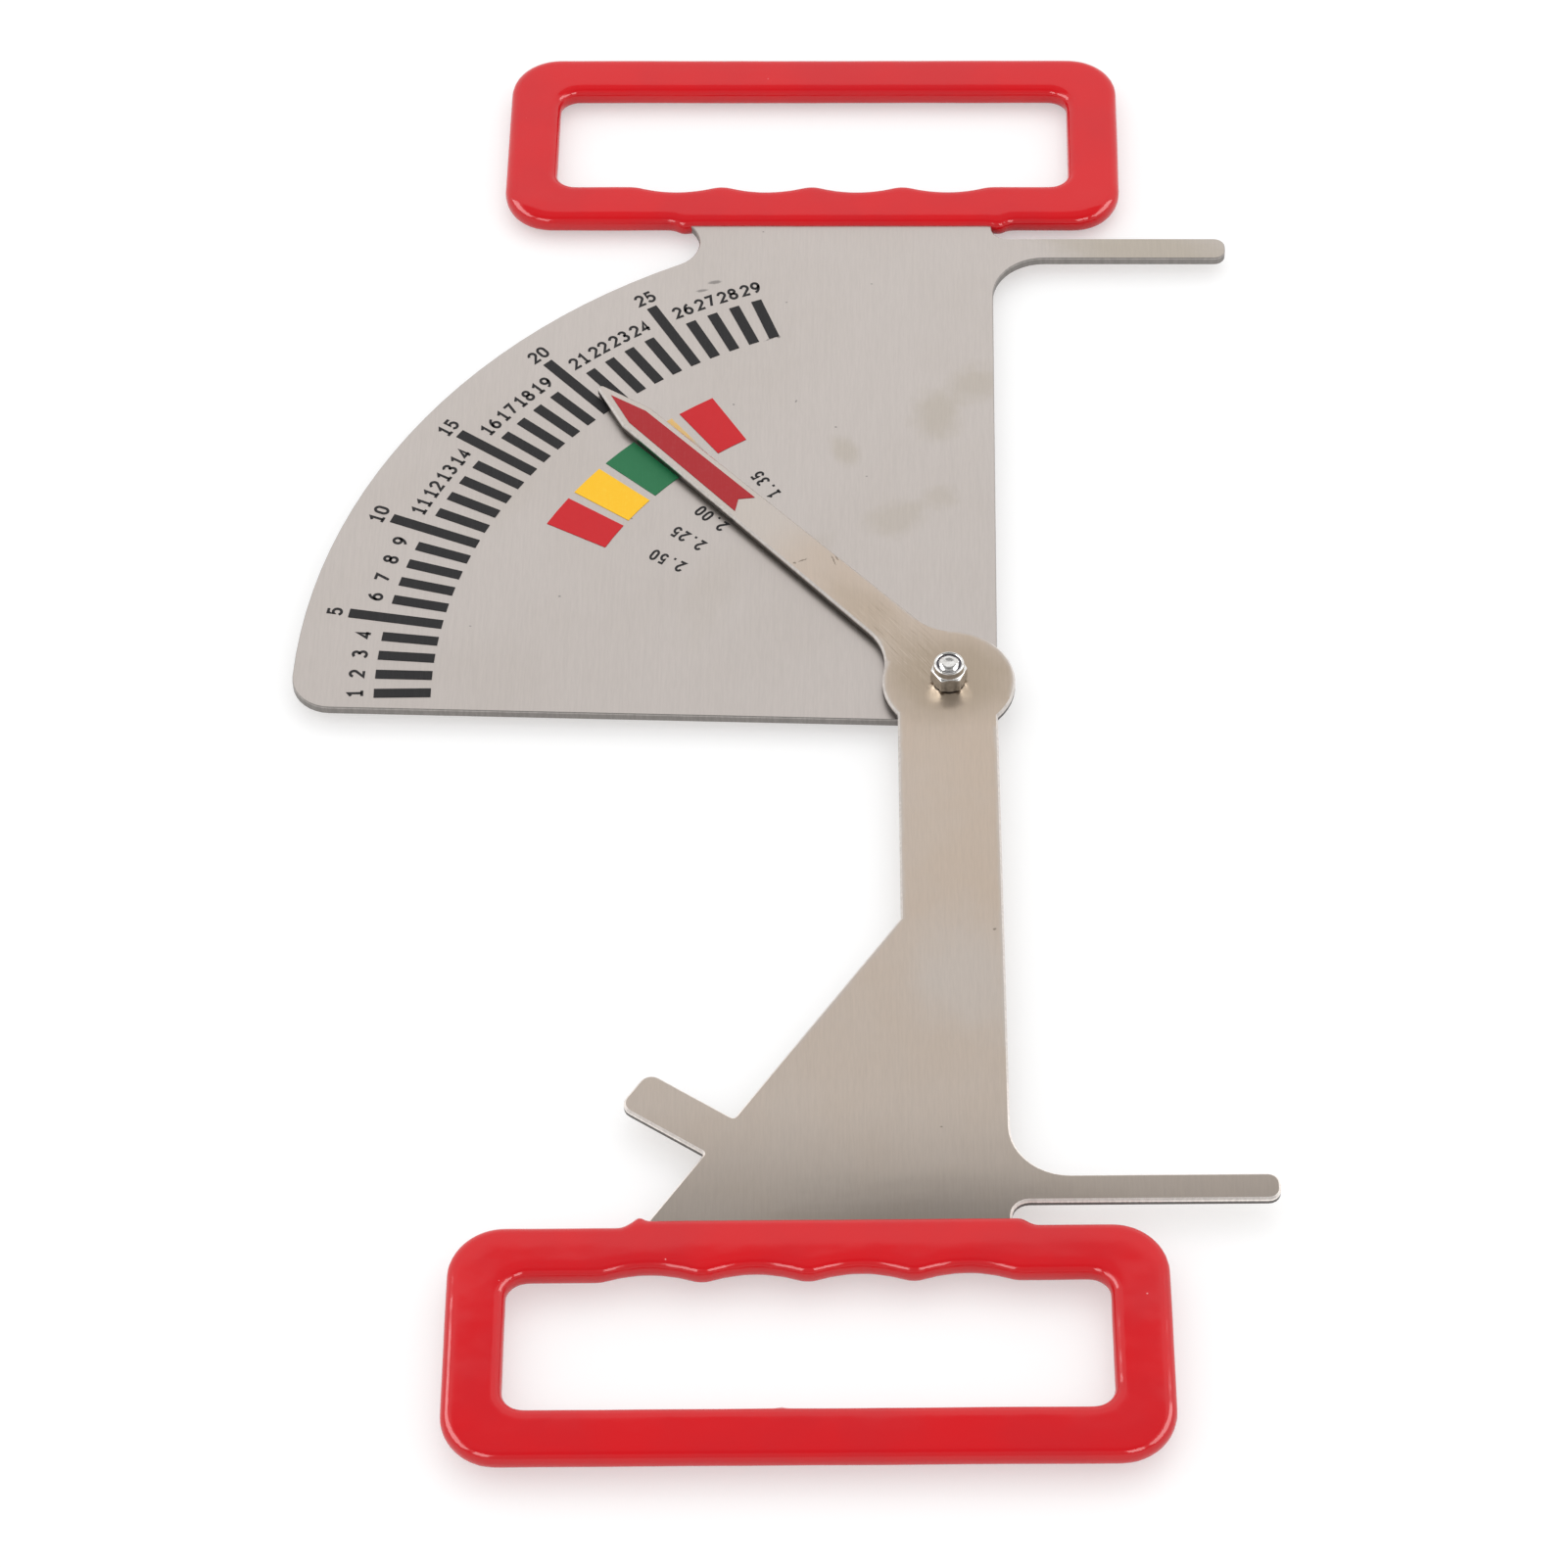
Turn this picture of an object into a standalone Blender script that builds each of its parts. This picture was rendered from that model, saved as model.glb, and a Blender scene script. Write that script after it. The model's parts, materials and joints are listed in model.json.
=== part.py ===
"""Backfat caliper: two sheet steel arms on one pivot bolt, with dipped red handles and a printed scale.

It lies flat, scale up. The origin is on the pivot's axis, on the surface under the bolt's head.
+X is the way the two measuring fingers point, +Y runs along the scale plate towards its handle, +Z is up.
"""

import math

import bmesh
import bpy
from mathutils import Matrix

# Sheet, coating and gaps
SHEET = 0.0025
COAT = 0.0018
SEAT_GAP = 0.0003
FILM = 0.0001
FILM_GAP = 0.00002

# Scale plate: a quarter disc about the pivot
QUADRANT_RADIUS = 0.1636
QUADRANT_CORNER = 0.0100
BASE_DROP = 0.01067
BASE_SLOPE = 1.48
PLATE_RIGHT = 0.0121
PLATE_CORNER = 0.0015
NOTCH_RADIUS = 0.0088
PLATE_EDGE = 0.0002

# Measuring finger, the same on both arms
FINGER_GAP = 0.0067
FINGER_WIDTH = 0.0073
FINGER_END = 0.0738
FINGER_TIP = 0.0029
FINGER_FILLET = 0.0137
NECK_RIGHT = 0.0118
NECK_FILLET = 0.0041
NECK_CORNER = 0.0015

# Handles, outside the coating
GRIP_WIDTH = 0.1650
GRIP_HEIGHT = 0.0630
GRIP_BAND = 0.0138
GRIP_CORNER = 0.0130
OPENING_CORNER = 0.0050
GRIP_FLAT = 0.0009
UPPER_GRIP_SET = 0.0012
UPPER_GRIP_CENTRE = -0.0362
LOWER_GRIP_CENTRE = -0.0350
NEAR_STEP = 0.00005
LIP_HEIGHT = 0.0010
LIP_FOOT = 0.0019
LIP_ROUND = 0.0032

# Finger hollows along the handle's opening
HOLLOWS = 4
HOLLOW_PITCH = 0.0242
HOLLOW_DEPTH = 0.0020
HOLLOW_CREST = 0.0080

# Pointer arm, drawn straight and turned by ARM_SWING to where the photograph has it
ARM_SWING = 0.80
HUB_RADIUS = 0.0165
ARM_LEFT = 0.01275
ARM_RIGHT = 0.0119
ARM_EDGE = 0.0005
FLARE_ANGLE = 34.0
FLARE_OFFSET = 0.0310
FLARE_CORNER = 0.0015
TAB_RISE = 0.0310
TAB_WIDTH = 0.0120
TAB_LENGTH = 0.0244
TAB_CORNER = 0.0031
TAB_ROOT = 0.0008

# Pointer, along its own centreline from the pivot
POINTER_ANGLE = 132.2
POINTER_OFFSET = -0.00225
POINTER_ROOT_HALF = 0.00615
POINTER_SHOULDER_HALF = 0.0047
POINTER_TAPER = 0.0175
POINTER_REACH = 0.0093
POINTER_TIP = 0.0010
POINTER_LEFT_FILLET = 0.0150
POINTER_RIGHT_FILLET = 0.0135

# Printed arrow on the pointer
ARROW_SET = 0.0076
ARROW_TAPER = 0.0104
ARROW_LENGTH = 0.0521
ARROW_MARGIN = 0.0018
ARROW_NOTCH = 0.0025

# Printed scale: divisions run clockwise from the first tick
TICKS = 29
TICK_FIRST = 180.87
TICK_PITCH = 2.508
TICK_WIDTH = 0.0028
TICK_LENGTH = 0.0142
TICK_LONG_LENGTH = 0.0240
TICK_LONG_EVERY = 5
TICK_MARGIN = 0.0109
ZONE_COLOURS = ("red", "yellow", "green", "yellow", "red")
ZONE_FIRST = 13.55
ZONE_PITCH = 2.5
ZONE_SPAN = 2.0
ZONE_DEPTH = 0.0172
ZONE_GAP = 0.0128

# Pivot: a hexagon head bolt and a lock nut with a plastic ring
BOLT_RADIUS = 0.0025
HEAD_FLATS = 0.0080
HEAD_HEIGHT = 0.0035
BOLT_PROUD = 0.0003
BOLT_CHAMFER = 0.0004
HEX_CHAMFER_SLOPE = 30.0
NUT_FLATS = 0.0080
NUT_HEIGHT = 0.0065
NUT_TURN = 5.0
NUT_HEX_HEIGHT = 0.0043
NUT_FOOT_CHAMFER = 0.0003
COLLAR_ROUND = 0.0008
COLLAR_WALL = 0.0004
COLLAR_LIP = 0.00045
COLLAR_LIP_GAP = 0.00045
COLLAR_LIP_REACH = 0.00035
RING_HEIGHT = 0.00145
RING_GAP = 0.0001

# How closely arcs follow their circle
FINE_CHORD = 0.00004
COARSE_CHORD = 0.00008
TURNED_SIDES = 32

# Distances from the pivot that follow from the quadrant
UPPER_GRIP_NEAR = QUADRANT_RADIUS - UPPER_GRIP_SET
LOWER_GRIP_NEAR = QUADRANT_RADIUS
FINGER_FAR = QUADRANT_RADIUS - FINGER_GAP
FINGER_NEAR = FINGER_FAR - FINGER_WIDTH
TICK_INNER = QUADRANT_RADIUS - TICK_MARGIN - TICK_LONG_LENGTH
ZONE_OUTER = TICK_INNER - ZONE_GAP
POINTER_APEX = TICK_INNER + POINTER_REACH
POINTER_SHOULDER = POINTER_APEX - POINTER_TAPER

# The nut's collar stands round the bolt
LIP_RADIUS = BOLT_RADIUS + COLLAR_LIP_GAP
POCKET_RADIUS = LIP_RADIUS + COLLAR_LIP_REACH
COLLAR_RADIUS = POCKET_RADIUS + COLLAR_WALL

# Levels, from the surface upwards
PLATE_LEVEL = HEAD_HEIGHT + SEAT_GAP
ARM_LEVEL = PLATE_LEVEL + SHEET + SEAT_GAP
NUT_LEVEL = ARM_LEVEL + SHEET + SEAT_GAP

# Colours and finishes: red, green, blue; metallic; roughness
FINISHES = {
    "plate_steel": ((0.56, 0.52, 0.50), 1.0, 0.42),
    "arm_steel": ((0.52, 0.45, 0.38), 1.0, 0.40),
    "bright_zinc": ((0.78, 0.76, 0.74), 1.0, 0.16),
    "dip_coat": ((0.72, 0.02, 0.03), 0.0, 0.22),
    "ring_plastic": ((0.10, 0.09, 0.11), 0.0, 0.45),
    "ink_black": ((0.035, 0.035, 0.04), 0.0, 0.50),
    "ink_red": ((0.66, 0.035, 0.05), 0.0, 0.45),
    "ink_yellow": ((0.95, 0.56, 0.02), 0.0, 0.45),
    "ink_green": ((0.04, 0.20, 0.09), 0.0, 0.45),
}


class Grip:
    """Where one handle lies: which side of the pivot, how far out, and its middle along X."""

    def __init__(self, side, near, centre):
        self.side = side
        self.near = near
        self.centre = centre

    def box(self, inset):
        """Left, right, near and far edge of the handle's outline, moved in by inset."""
        left = self.centre - GRIP_WIDTH / 2 + inset
        right = self.centre + GRIP_WIDTH / 2 - inset
        return left, right, self.near + inset, self.near + GRIP_HEIGHT - inset


UPPER = Grip(1, UPPER_GRIP_NEAR, UPPER_GRIP_CENTRE)
LOWER = Grip(-1, LOWER_GRIP_NEAR, LOWER_GRIP_CENTRE)


# Plan outlines


def polar(radius, degrees):
    angle = math.radians(degrees)
    return radius * math.cos(angle), radius * math.sin(angle)


def arc(centre, radius, start, end, chord):
    """Points on a circle from one angle to another, in degrees, both ends included."""
    step = math.degrees(2 * math.acos(1 - min(chord / radius, 0.5)))
    steps = max(1, math.ceil(abs(end - start) / step))
    points = []
    for index in range(steps + 1):
        x, y = polar(radius, start + (end - start) * index / steps)
        points.append((centre[0] + x, centre[1] + y))
    return points


def direction(start, end):
    return math.degrees(math.atan2(end[1] - start[1], end[0] - start[0]))


def turn(first, second):
    """Signed change of heading, between -180 and 180 degrees."""
    return (second - first + 180) % 360 - 180


def rounded(corners, chord, closed=True):
    """An outline through corners (x, y, radius), each rounded by its own radius."""
    points = []
    count = len(corners)
    for index, (x, y, radius) in enumerate(corners):
        end = index in (0, count - 1) and not closed
        if radius == 0 or end:
            points.append((x, y))
            continue
        before = direction(corners[index - 1], (x, y))
        after = direction((x, y), corners[(index + 1) % count])
        swing = turn(before, after)
        side = math.copysign(1, swing)
        back = radius * math.tan(math.radians(abs(swing) / 2))
        step_x, step_y = polar(back, before)
        out_x, out_y = polar(radius, before + 90 * side)
        centre = (x - step_x + out_x, y - step_y + out_y)
        start = before - 90 * side
        points += arc(centre, radius, start, start + swing, chord)
    return points


def mirrored(points, side):
    return [(x, y * side) for x, y in points]


def circle(radius, chord):
    return arc((0, 0), radius, 0, 360, chord)[:-1]


def opening(grip, inset, chord):
    """The finger opening with its hollows; a positive inset moves its edge into the steel."""
    left, right, near, far = grip.box(GRIP_BAND - inset)
    corner = OPENING_CORNER + inset
    reach = ((HOLLOW_PITCH / 2) ** 2 + HOLLOW_DEPTH**2) / (2 * HOLLOW_DEPTH)
    slope = math.degrees(math.asin(HOLLOW_PITCH / 2 / reach))
    crest = HOLLOW_CREST - inset
    hollow = reach - HOLLOW_CREST + inset
    crest_y = near - crest
    hollow_y = near - HOLLOW_DEPTH + hollow
    points = arc((left + corner, near + corner), corner, 180, 270, chord)
    start = grip.centre - HOLLOWS / 2 * HOLLOW_PITCH
    points += arc((start, crest_y), crest, 90, 90 - slope, chord)
    for index in range(HOLLOWS):
        middle = start + (index + 0.5) * HOLLOW_PITCH
        points += arc((middle, hollow_y), hollow, 270 - slope, 270 + slope, chord)[1:]
        final = 90 if index == HOLLOWS - 1 else 90 - slope
        points += arc((middle + HOLLOW_PITCH / 2, crest_y), crest, 90 + slope, final, chord)[1:]
    points += arc((right - corner, near + corner), corner, 270, 360, chord)
    points += arc((right - corner, far - corner), corner, 0, 90, chord)
    points += arc((left + corner, far - corner), corner, 90, 180, chord)
    return mirrored(points, grip.side)


def loop(grip, inset, chord):
    """The handle's outline from its near right corner round to its near left one, seen on the upper side.

    The right half of the near edge lies further out by NEAR_STEP, so that no three corners share one line.
    """
    left, right, near, far = grip.box(inset)
    corner = GRIP_CORNER - inset
    points = arc((right - corner, near + NEAR_STEP + corner), corner, 270, 360, chord)
    points += arc((right - corner, far - corner), corner, 0, 90, chord)
    points += arc((left + corner, far - corner), corner, 90, 180, chord)
    points += arc((left + corner, near + corner), corner, 180, 270, chord)
    return points


def finger(right_edge, chord):
    """From the arm's right edge out round the measuring finger to the neck, seen on the upper side."""
    corners = [
        (right_edge, 0, 0),
        (right_edge, FINGER_NEAR, FINGER_FILLET),
        (FINGER_END, FINGER_NEAR, FINGER_TIP),
        (FINGER_END, FINGER_FAR, FINGER_TIP),
        (NECK_RIGHT, FINGER_FAR, NECK_FILLET),
        (NECK_RIGHT, FINGER_FAR + 2 * NECK_FILLET, 0),
    ]
    return rounded(corners, chord, closed=False)[1:-1]


def neck_corner(grip, inset, chord):
    """The inner corner between the neck's right edge and the handle's near edge."""
    near = grip.near + inset + NEAR_STEP
    grow = COAT - inset
    corners = [
        (NECK_RIGHT + grow, 0, 0),
        (NECK_RIGHT + grow, near, NECK_CORNER - grow),
        (grip.centre + GRIP_WIDTH / 2, near, 0),
    ]
    return rounded(corners, chord, closed=False)[1:-1]


def notch(inset, chord):
    """The round notch between the upper handle and the quadrant's rim, from the handle down."""
    grow = COAT - inset
    centre_y = UPPER.near + COAT - NOTCH_RADIUS
    reach = QUADRANT_RADIUS + NOTCH_RADIUS
    centre_x = -math.sqrt(reach**2 - centre_y**2)
    rim_angle = math.degrees(math.atan2(centre_y, centre_x))
    points = arc((centre_x, centre_y), NOTCH_RADIUS - grow, 90, rim_angle - 180, chord)
    return points, rim_angle


def flare_point(along, out):
    """A point given along the flare's slanting edge from the pivot's level, and out to its left."""
    angle = math.radians(FLARE_ANGLE)
    along_x, along_y = -math.sin(angle), -math.cos(angle)
    out_x, out_y = -math.cos(angle), math.sin(angle)
    offset = out - FLARE_OFFSET
    return along * along_x + offset * out_x, along * along_y + offset * out_y


def flare_x(y, grow):
    """Where the flare's slanting edge, moved out by grow, crosses the height y."""
    start = flare_point(0, grow)
    end = flare_point(1, grow)
    return start[0] + (y - start[1]) * (end[0] - start[0]) / (end[1] - start[1])


def flare_corner(inset, chord):
    """The inner corner between the lower handle and the flare, from the handle up."""
    grow = COAT - inset
    near = -(LOWER.near + inset)
    corner_x = flare_x(near, grow)
    corners = [
        (corner_x - GRIP_CORNER, near, 0),
        (corner_x, near, FLARE_CORNER - grow),
        (*flare_point(0, grow), 0),
    ]
    return rounded(corners, chord, closed=False)[1:-1]


def plate_outline():
    base_x, base_y = math.sin(math.radians(BASE_SLOPE)), math.cos(math.radians(BASE_SLOPE))
    lift = QUADRANT_CORNER - BASE_DROP
    run = math.sqrt((QUADRANT_RADIUS - QUADRANT_CORNER) ** 2 - lift**2)
    centre = (lift * base_x - run * base_y, lift * base_y + run * base_x)
    corner_angle = math.degrees(math.atan2(centre[1], centre[0])) % 360
    notch_points, rim_angle = notch(COAT, FINE_CHORD)
    foot = -(BASE_DROP + PLATE_RIGHT * base_x) / base_y
    base = [(-QUADRANT_RADIUS, foot, 0), (PLATE_RIGHT, foot, PLATE_CORNER), (PLATE_RIGHT, 0, 0)]
    points = finger(PLATE_RIGHT, FINE_CHORD)
    points += neck_corner(UPPER, COAT, COARSE_CHORD)
    points += loop(UPPER, COAT, COARSE_CHORD)
    points += notch_points
    points += arc((0, 0), QUADRANT_RADIUS, rim_angle, corner_angle, FINE_CHORD)[1:]
    points += arc(centre, QUADRANT_CORNER, corner_angle, 270 - BASE_SLOPE, FINE_CHORD)[1:]
    points += rounded(base, FINE_CHORD, closed=False)[1:-1]
    return points


def pointer_point(along, across):
    """A point given along the pointer's centreline and to its left."""
    along_x, along_y = polar(along, POINTER_ANGLE)
    across_x, across_y = polar(across + POINTER_OFFSET, POINTER_ANGLE + 90)
    return along_x + across_x, along_y + across_y


def pointer_fillet(side, radius):
    """The arc that joins the hub to one edge of the pointer, from the hub outwards: 1 is the left edge."""
    taper = math.atan2(POINTER_ROOT_HALF - POINTER_SHOULDER_HALF, POINTER_SHOULDER)
    heading = POINTER_ANGLE - side * math.degrees(taper)
    offset = side * POINTER_OFFSET + POINTER_ROOT_HALF
    out = offset * math.cos(taper) + radius
    along = math.sqrt((HUB_RADIUS + radius) ** 2 - out**2)
    along_x, along_y = polar(along, heading)
    out_x, out_y = polar(out, heading + 90 * side)
    centre = (along_x + out_x, along_y + out_y)
    hub_angle = math.degrees(math.atan2(centre[1], centre[0])) % 360
    start = hub_angle + 180
    end = start + turn(start, heading - 90 * side)
    return arc(centre, radius, start, end, FINE_CHORD), hub_angle


def pointer_half(along):
    """Half the pointer's width at a distance along its centreline."""
    return POINTER_ROOT_HALF - (POINTER_ROOT_HALF - POINTER_SHOULDER_HALF) * along / POINTER_SHOULDER


def arm_outline():
    right_points, right_angle = pointer_fillet(-1, POINTER_RIGHT_FILLET)
    left_points, left_angle = pointer_fillet(1, POINTER_LEFT_FILLET)
    right_foot = -math.degrees(math.acos(ARM_RIGHT / HUB_RADIUS))
    left_foot = 180 + math.degrees(math.acos(ARM_LEFT / HUB_RADIUS))
    shoulders = [
        (*right_points[-1], 0),
        (*pointer_point(POINTER_SHOULDER, -POINTER_SHOULDER_HALF), 0),
        (*pointer_point(POINTER_APEX, 0), POINTER_TIP),
        (*pointer_point(POINTER_SHOULDER, POINTER_SHOULDER_HALF), 0),
        (*left_points[-1], 0),
    ]
    flare_top = -(FLARE_OFFSET + ARM_LEFT * math.cos(math.radians(FLARE_ANGLE)))
    flare_top = flare_top / math.sin(math.radians(FLARE_ANGLE))
    flare_foot = LOWER.near - FLARE_OFFSET * math.sin(math.radians(FLARE_ANGLE))
    flare_foot = flare_foot / math.cos(math.radians(FLARE_ANGLE))
    tab_start = flare_foot - TAB_RISE - TAB_WIDTH / 2
    tab_end = tab_start + TAB_WIDTH
    flank = [
        (-ARM_LEFT, 0, 0),
        (-ARM_LEFT, flare_top, 0),
        (*flare_point(tab_start, 0), TAB_ROOT),
        (*flare_point(tab_start, TAB_LENGTH), TAB_CORNER),
        (*flare_point(tab_end, TAB_LENGTH), TAB_CORNER),
        (*flare_point(tab_end, 0), TAB_ROOT),
        (*flare_point(tab_end + TAB_WIDTH, 0), 0),
    ]
    points = arc((0, 0), HUB_RADIUS, right_foot, right_angle, FINE_CHORD)[:-1]
    points += right_points[:-1]
    points += rounded(shoulders, FINE_CHORD, closed=False)
    points += left_points[-2::-1]
    points += arc((0, 0), HUB_RADIUS, left_angle, left_foot, FINE_CHORD)[1:]
    points += rounded(flank, FINE_CHORD, closed=False)[1:-1]
    points += flare_corner(COAT, COARSE_CHORD)[::-1]
    handle = neck_corner(LOWER, COAT, COARSE_CHORD)
    handle += loop(LOWER, COAT, COARSE_CHORD)
    points += mirrored(handle, LOWER.side)[::-1]
    points += mirrored(finger(ARM_RIGHT, FINE_CHORD), LOWER.side)[::-1]
    return points


def lip_ends(grip):
    """Where the coating's lip starts and ends along X, over the neck of the sheet."""
    lip = grip.near - LIP_HEIGHT
    if grip is UPPER:
        centre_y = UPPER.near + COAT - NOTCH_RADIUS
        centre_x = -math.sqrt((QUADRANT_RADIUS + NOTCH_RADIUS) ** 2 - centre_y**2)
        left = centre_x + math.sqrt(NOTCH_RADIUS**2 - (lip - centre_y) ** 2)
    else:
        left = flare_x(-lip, 0)
    return left - COAT, NECK_RIGHT + COAT


def coat_outline(grip):
    """The handle's outer outline, with the low lip where the sheet comes out of the coating."""
    left, right = lip_ends(grip)
    lip = grip.near - LIP_HEIGHT
    ramp = [
        (grip.centre - GRIP_WIDTH / 2 + GRIP_CORNER, grip.near, 0),
        (left - LIP_FOOT, grip.near, LIP_ROUND),
        (left, lip, LIP_ROUND),
        (right, lip, LIP_ROUND),
        (right + LIP_FOOT, grip.near + NEAR_STEP, LIP_ROUND),
        (grip.centre + GRIP_WIDTH / 2 - GRIP_CORNER, grip.near + NEAR_STEP, 0),
    ]
    points = loop(grip, 0, COARSE_CHORD)
    points += rounded(ramp, COARSE_CHORD, closed=False)[1:-1]
    return mirrored(points, grip.side)


def cavity_outline(grip):
    """The space inside the coating: the sheet grown by the seat gap, running out of the lip."""
    inset = COAT - SEAT_GAP
    mouth = grip.near - 4 * LIP_HEIGHT
    right_corner = neck_corner(grip, inset, COARSE_CHORD)
    points = [(NECK_RIGHT + SEAT_GAP, mouth)]
    points += right_corner
    points += loop(grip, inset, COARSE_CHORD)
    if grip is UPPER:
        notch_points, _ = notch(inset, COARSE_CHORD)
        points += [point for point in notch_points if point[1] > mouth]
        points.append((points[-1][0], mouth))
        return points
    points = mirrored(points, grip.side)
    points += flare_corner(inset, COARSE_CHORD)
    points.append((flare_x(-mouth, SEAT_GAP), -mouth))
    return points


# Blender objects


def clear_scene():
    for obj in list(bpy.data.objects):
        bpy.data.objects.remove(obj, do_unlink=True)


def new_collection(name):
    collection = bpy.data.collections.new(name)
    bpy.context.scene.collection.children.link(collection)
    return collection


def make_material(name):
    colour, metallic, roughness = FINISHES[name]
    material = bpy.data.materials.new(name)
    material.use_nodes = True
    shader = material.node_tree.nodes["Principled BSDF"]
    shader.inputs["Base Color"].default_value = (*colour, 1.0)
    shader.inputs["Metallic"].default_value = metallic
    shader.inputs["Roughness"].default_value = roughness
    return material


def finish(obj, material_name, parent):
    obj.data.materials.clear()
    obj.data.materials.append(bpy.data.materials[material_name])
    obj.parent = parent
    return obj


def sheet_body(name, outlines, thickness, edge, edge_steps, collection):
    """A flat body with its underside at z = 0, cut from outlines, with its rims rounded by edge."""
    curve = bpy.data.curves.new(name, "CURVE")
    curve.dimensions = "2D"
    curve.fill_mode = "BOTH"
    curve.extrude = thickness / 2 - edge
    curve.bevel_depth = edge
    curve.bevel_resolution = edge_steps
    curve.offset = -edge
    for outline in outlines:
        spline = curve.splines.new("POLY")
        spline.points.add(len(outline) - 1)
        spline.use_cyclic_u = True
        for point, (x, y) in zip(spline.points, outline):
            point.co = (x, y, 0, 1)
    return as_mesh(name, curve, thickness / 2, collection)


def as_mesh(name, curve, rise, collection):
    """The curve's evaluated surface as a welded mesh object."""
    source = bpy.data.objects.new(name + "_curve", curve)
    source.location.z = rise
    bpy.context.scene.collection.objects.link(source)
    bpy.context.view_layer.update()
    evaluated = source.evaluated_get(bpy.context.evaluated_depsgraph_get())
    mesh = bpy.data.meshes.new_from_object(evaluated)
    mesh.name = name
    mesh.transform(source.matrix_world)
    bpy.data.objects.remove(source, do_unlink=True)
    bpy.data.curves.remove(curve)
    body = bmesh.new()
    body.from_mesh(mesh)
    bmesh.ops.remove_doubles(body, verts=body.verts, dist=1e-7)
    bmesh.ops.dissolve_limit(body, angle_limit=1e-4, verts=body.verts, edges=body.edges)
    bmesh.ops.recalc_face_normals(body, faces=body.faces)
    body.to_mesh(mesh)
    body.free()
    mesh.set_sharp_from_angle(angle=math.radians(35))
    obj = bpy.data.objects.new(name, mesh)
    collection.objects.link(obj)
    return obj


def turned(name, profile, collection, ring=False):
    """A body of revolution about Z from (radius, z) points running down its outer side."""
    mesh = bpy.data.meshes.new(name)
    edges = [(index, index + 1) for index in range(len(profile) - 1)]
    if ring:
        edges.append((len(profile) - 1, 0))
    mesh.from_pydata([(radius, 0, z) for radius, z in profile], edges, [])
    obj = bpy.data.objects.new(name, mesh)
    collection.objects.link(obj)
    screw = obj.modifiers.new("Turn", "SCREW")
    screw.steps = TURNED_SIDES
    screw.render_steps = TURNED_SIDES
    screw.use_merge_vertices = True
    screw.merge_threshold = 1e-6
    return obj


def prism(name, flats, height, collection):
    """A six-sided prism standing on z = 0, with a flat towards -Y."""
    mesh = bpy.data.meshes.new(name)
    body = bmesh.new()
    radius = flats / math.sqrt(3)
    bmesh.ops.create_cone(body, cap_ends=True, segments=6, radius1=radius, radius2=radius, depth=height)
    flat_forward = Matrix.Rotation(math.radians(30), 3, "Z")
    bmesh.ops.rotate(body, verts=body.verts, cent=(0, 0, 0), matrix=flat_forward)
    bmesh.ops.translate(body, verts=body.verts, vec=(0, 0, height / 2))
    body.to_mesh(mesh)
    body.free()
    obj = bpy.data.objects.new(name, mesh)
    collection.objects.link(obj)
    return obj


def combine(obj, tool, operation):
    tool.hide_render = True
    tool.display_type = "WIRE"
    boolean = obj.modifiers.new(operation.title(), "BOOLEAN")
    boolean.operation = operation
    boolean.solver = "EXACT"
    boolean.object = tool
    return obj


# The pieces


def build_scale_plate(parts, frame):
    outlines = [
        plate_outline(),
        opening(UPPER, COAT, COARSE_CHORD),
        circle(BOLT_RADIUS + SEAT_GAP, FINE_CHORD),
    ]
    plate = sheet_body("scale_plate", outlines, SHEET, PLATE_EDGE, 0, parts)
    plate.location.z = PLATE_LEVEL
    return finish(plate, "plate_steel", frame)


def build_pointer_arm(parts, swing):
    outlines = [
        arm_outline(),
        opening(LOWER, COAT, COARSE_CHORD),
        circle(BOLT_RADIUS + SEAT_GAP, FINE_CHORD),
    ]
    arm = sheet_body("pointer_arm", outlines, SHEET, ARM_EDGE, 0, parts)
    arm.location.z = ARM_LEVEL
    return finish(arm, "arm_steel", swing)


def build_grip(name, grip, level, parts, cutters, parent):
    """The dipped coating of one handle: a rounded ring, hollow where the sheet runs through it."""
    outlines = [coat_outline(grip), opening(grip, 0, COARSE_CHORD)]
    thickness = SHEET + 2 * COAT
    coat = sheet_body(name, outlines, thickness, (thickness - GRIP_FLAT) / 2, 2, parts)
    coat.location.z = level - COAT
    hollow = [cavity_outline(grip), opening(grip, COAT - SEAT_GAP, COARSE_CHORD)]
    cavity = sheet_body(name + "_cavity", hollow, SHEET + 2 * SEAT_GAP, 0, 0, cutters)
    cavity.location.z = level - SEAT_GAP
    cavity.parent = parent
    combine(coat, cavity, "DIFFERENCE")
    return finish(coat, "dip_coat", parent)


def corner_fall(flats):
    """How far a chamfered hexagon's corners lie below its top."""
    return (flats / math.sqrt(3) - flats / 2) * math.tan(math.radians(HEX_CHAMFER_SLOPE))


def hex_limit(flats, height, top_fall, foot_fall):
    """Profile of the body that takes off a hexagon's corners, by a fall at its top and its foot."""
    corner = flats / math.sqrt(3)
    face = flats / 2
    top = [(0, height), (face, height), (corner, height - top_fall)]
    return top + [(corner, foot_fall), (face, 0), (0, 0)]


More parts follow.
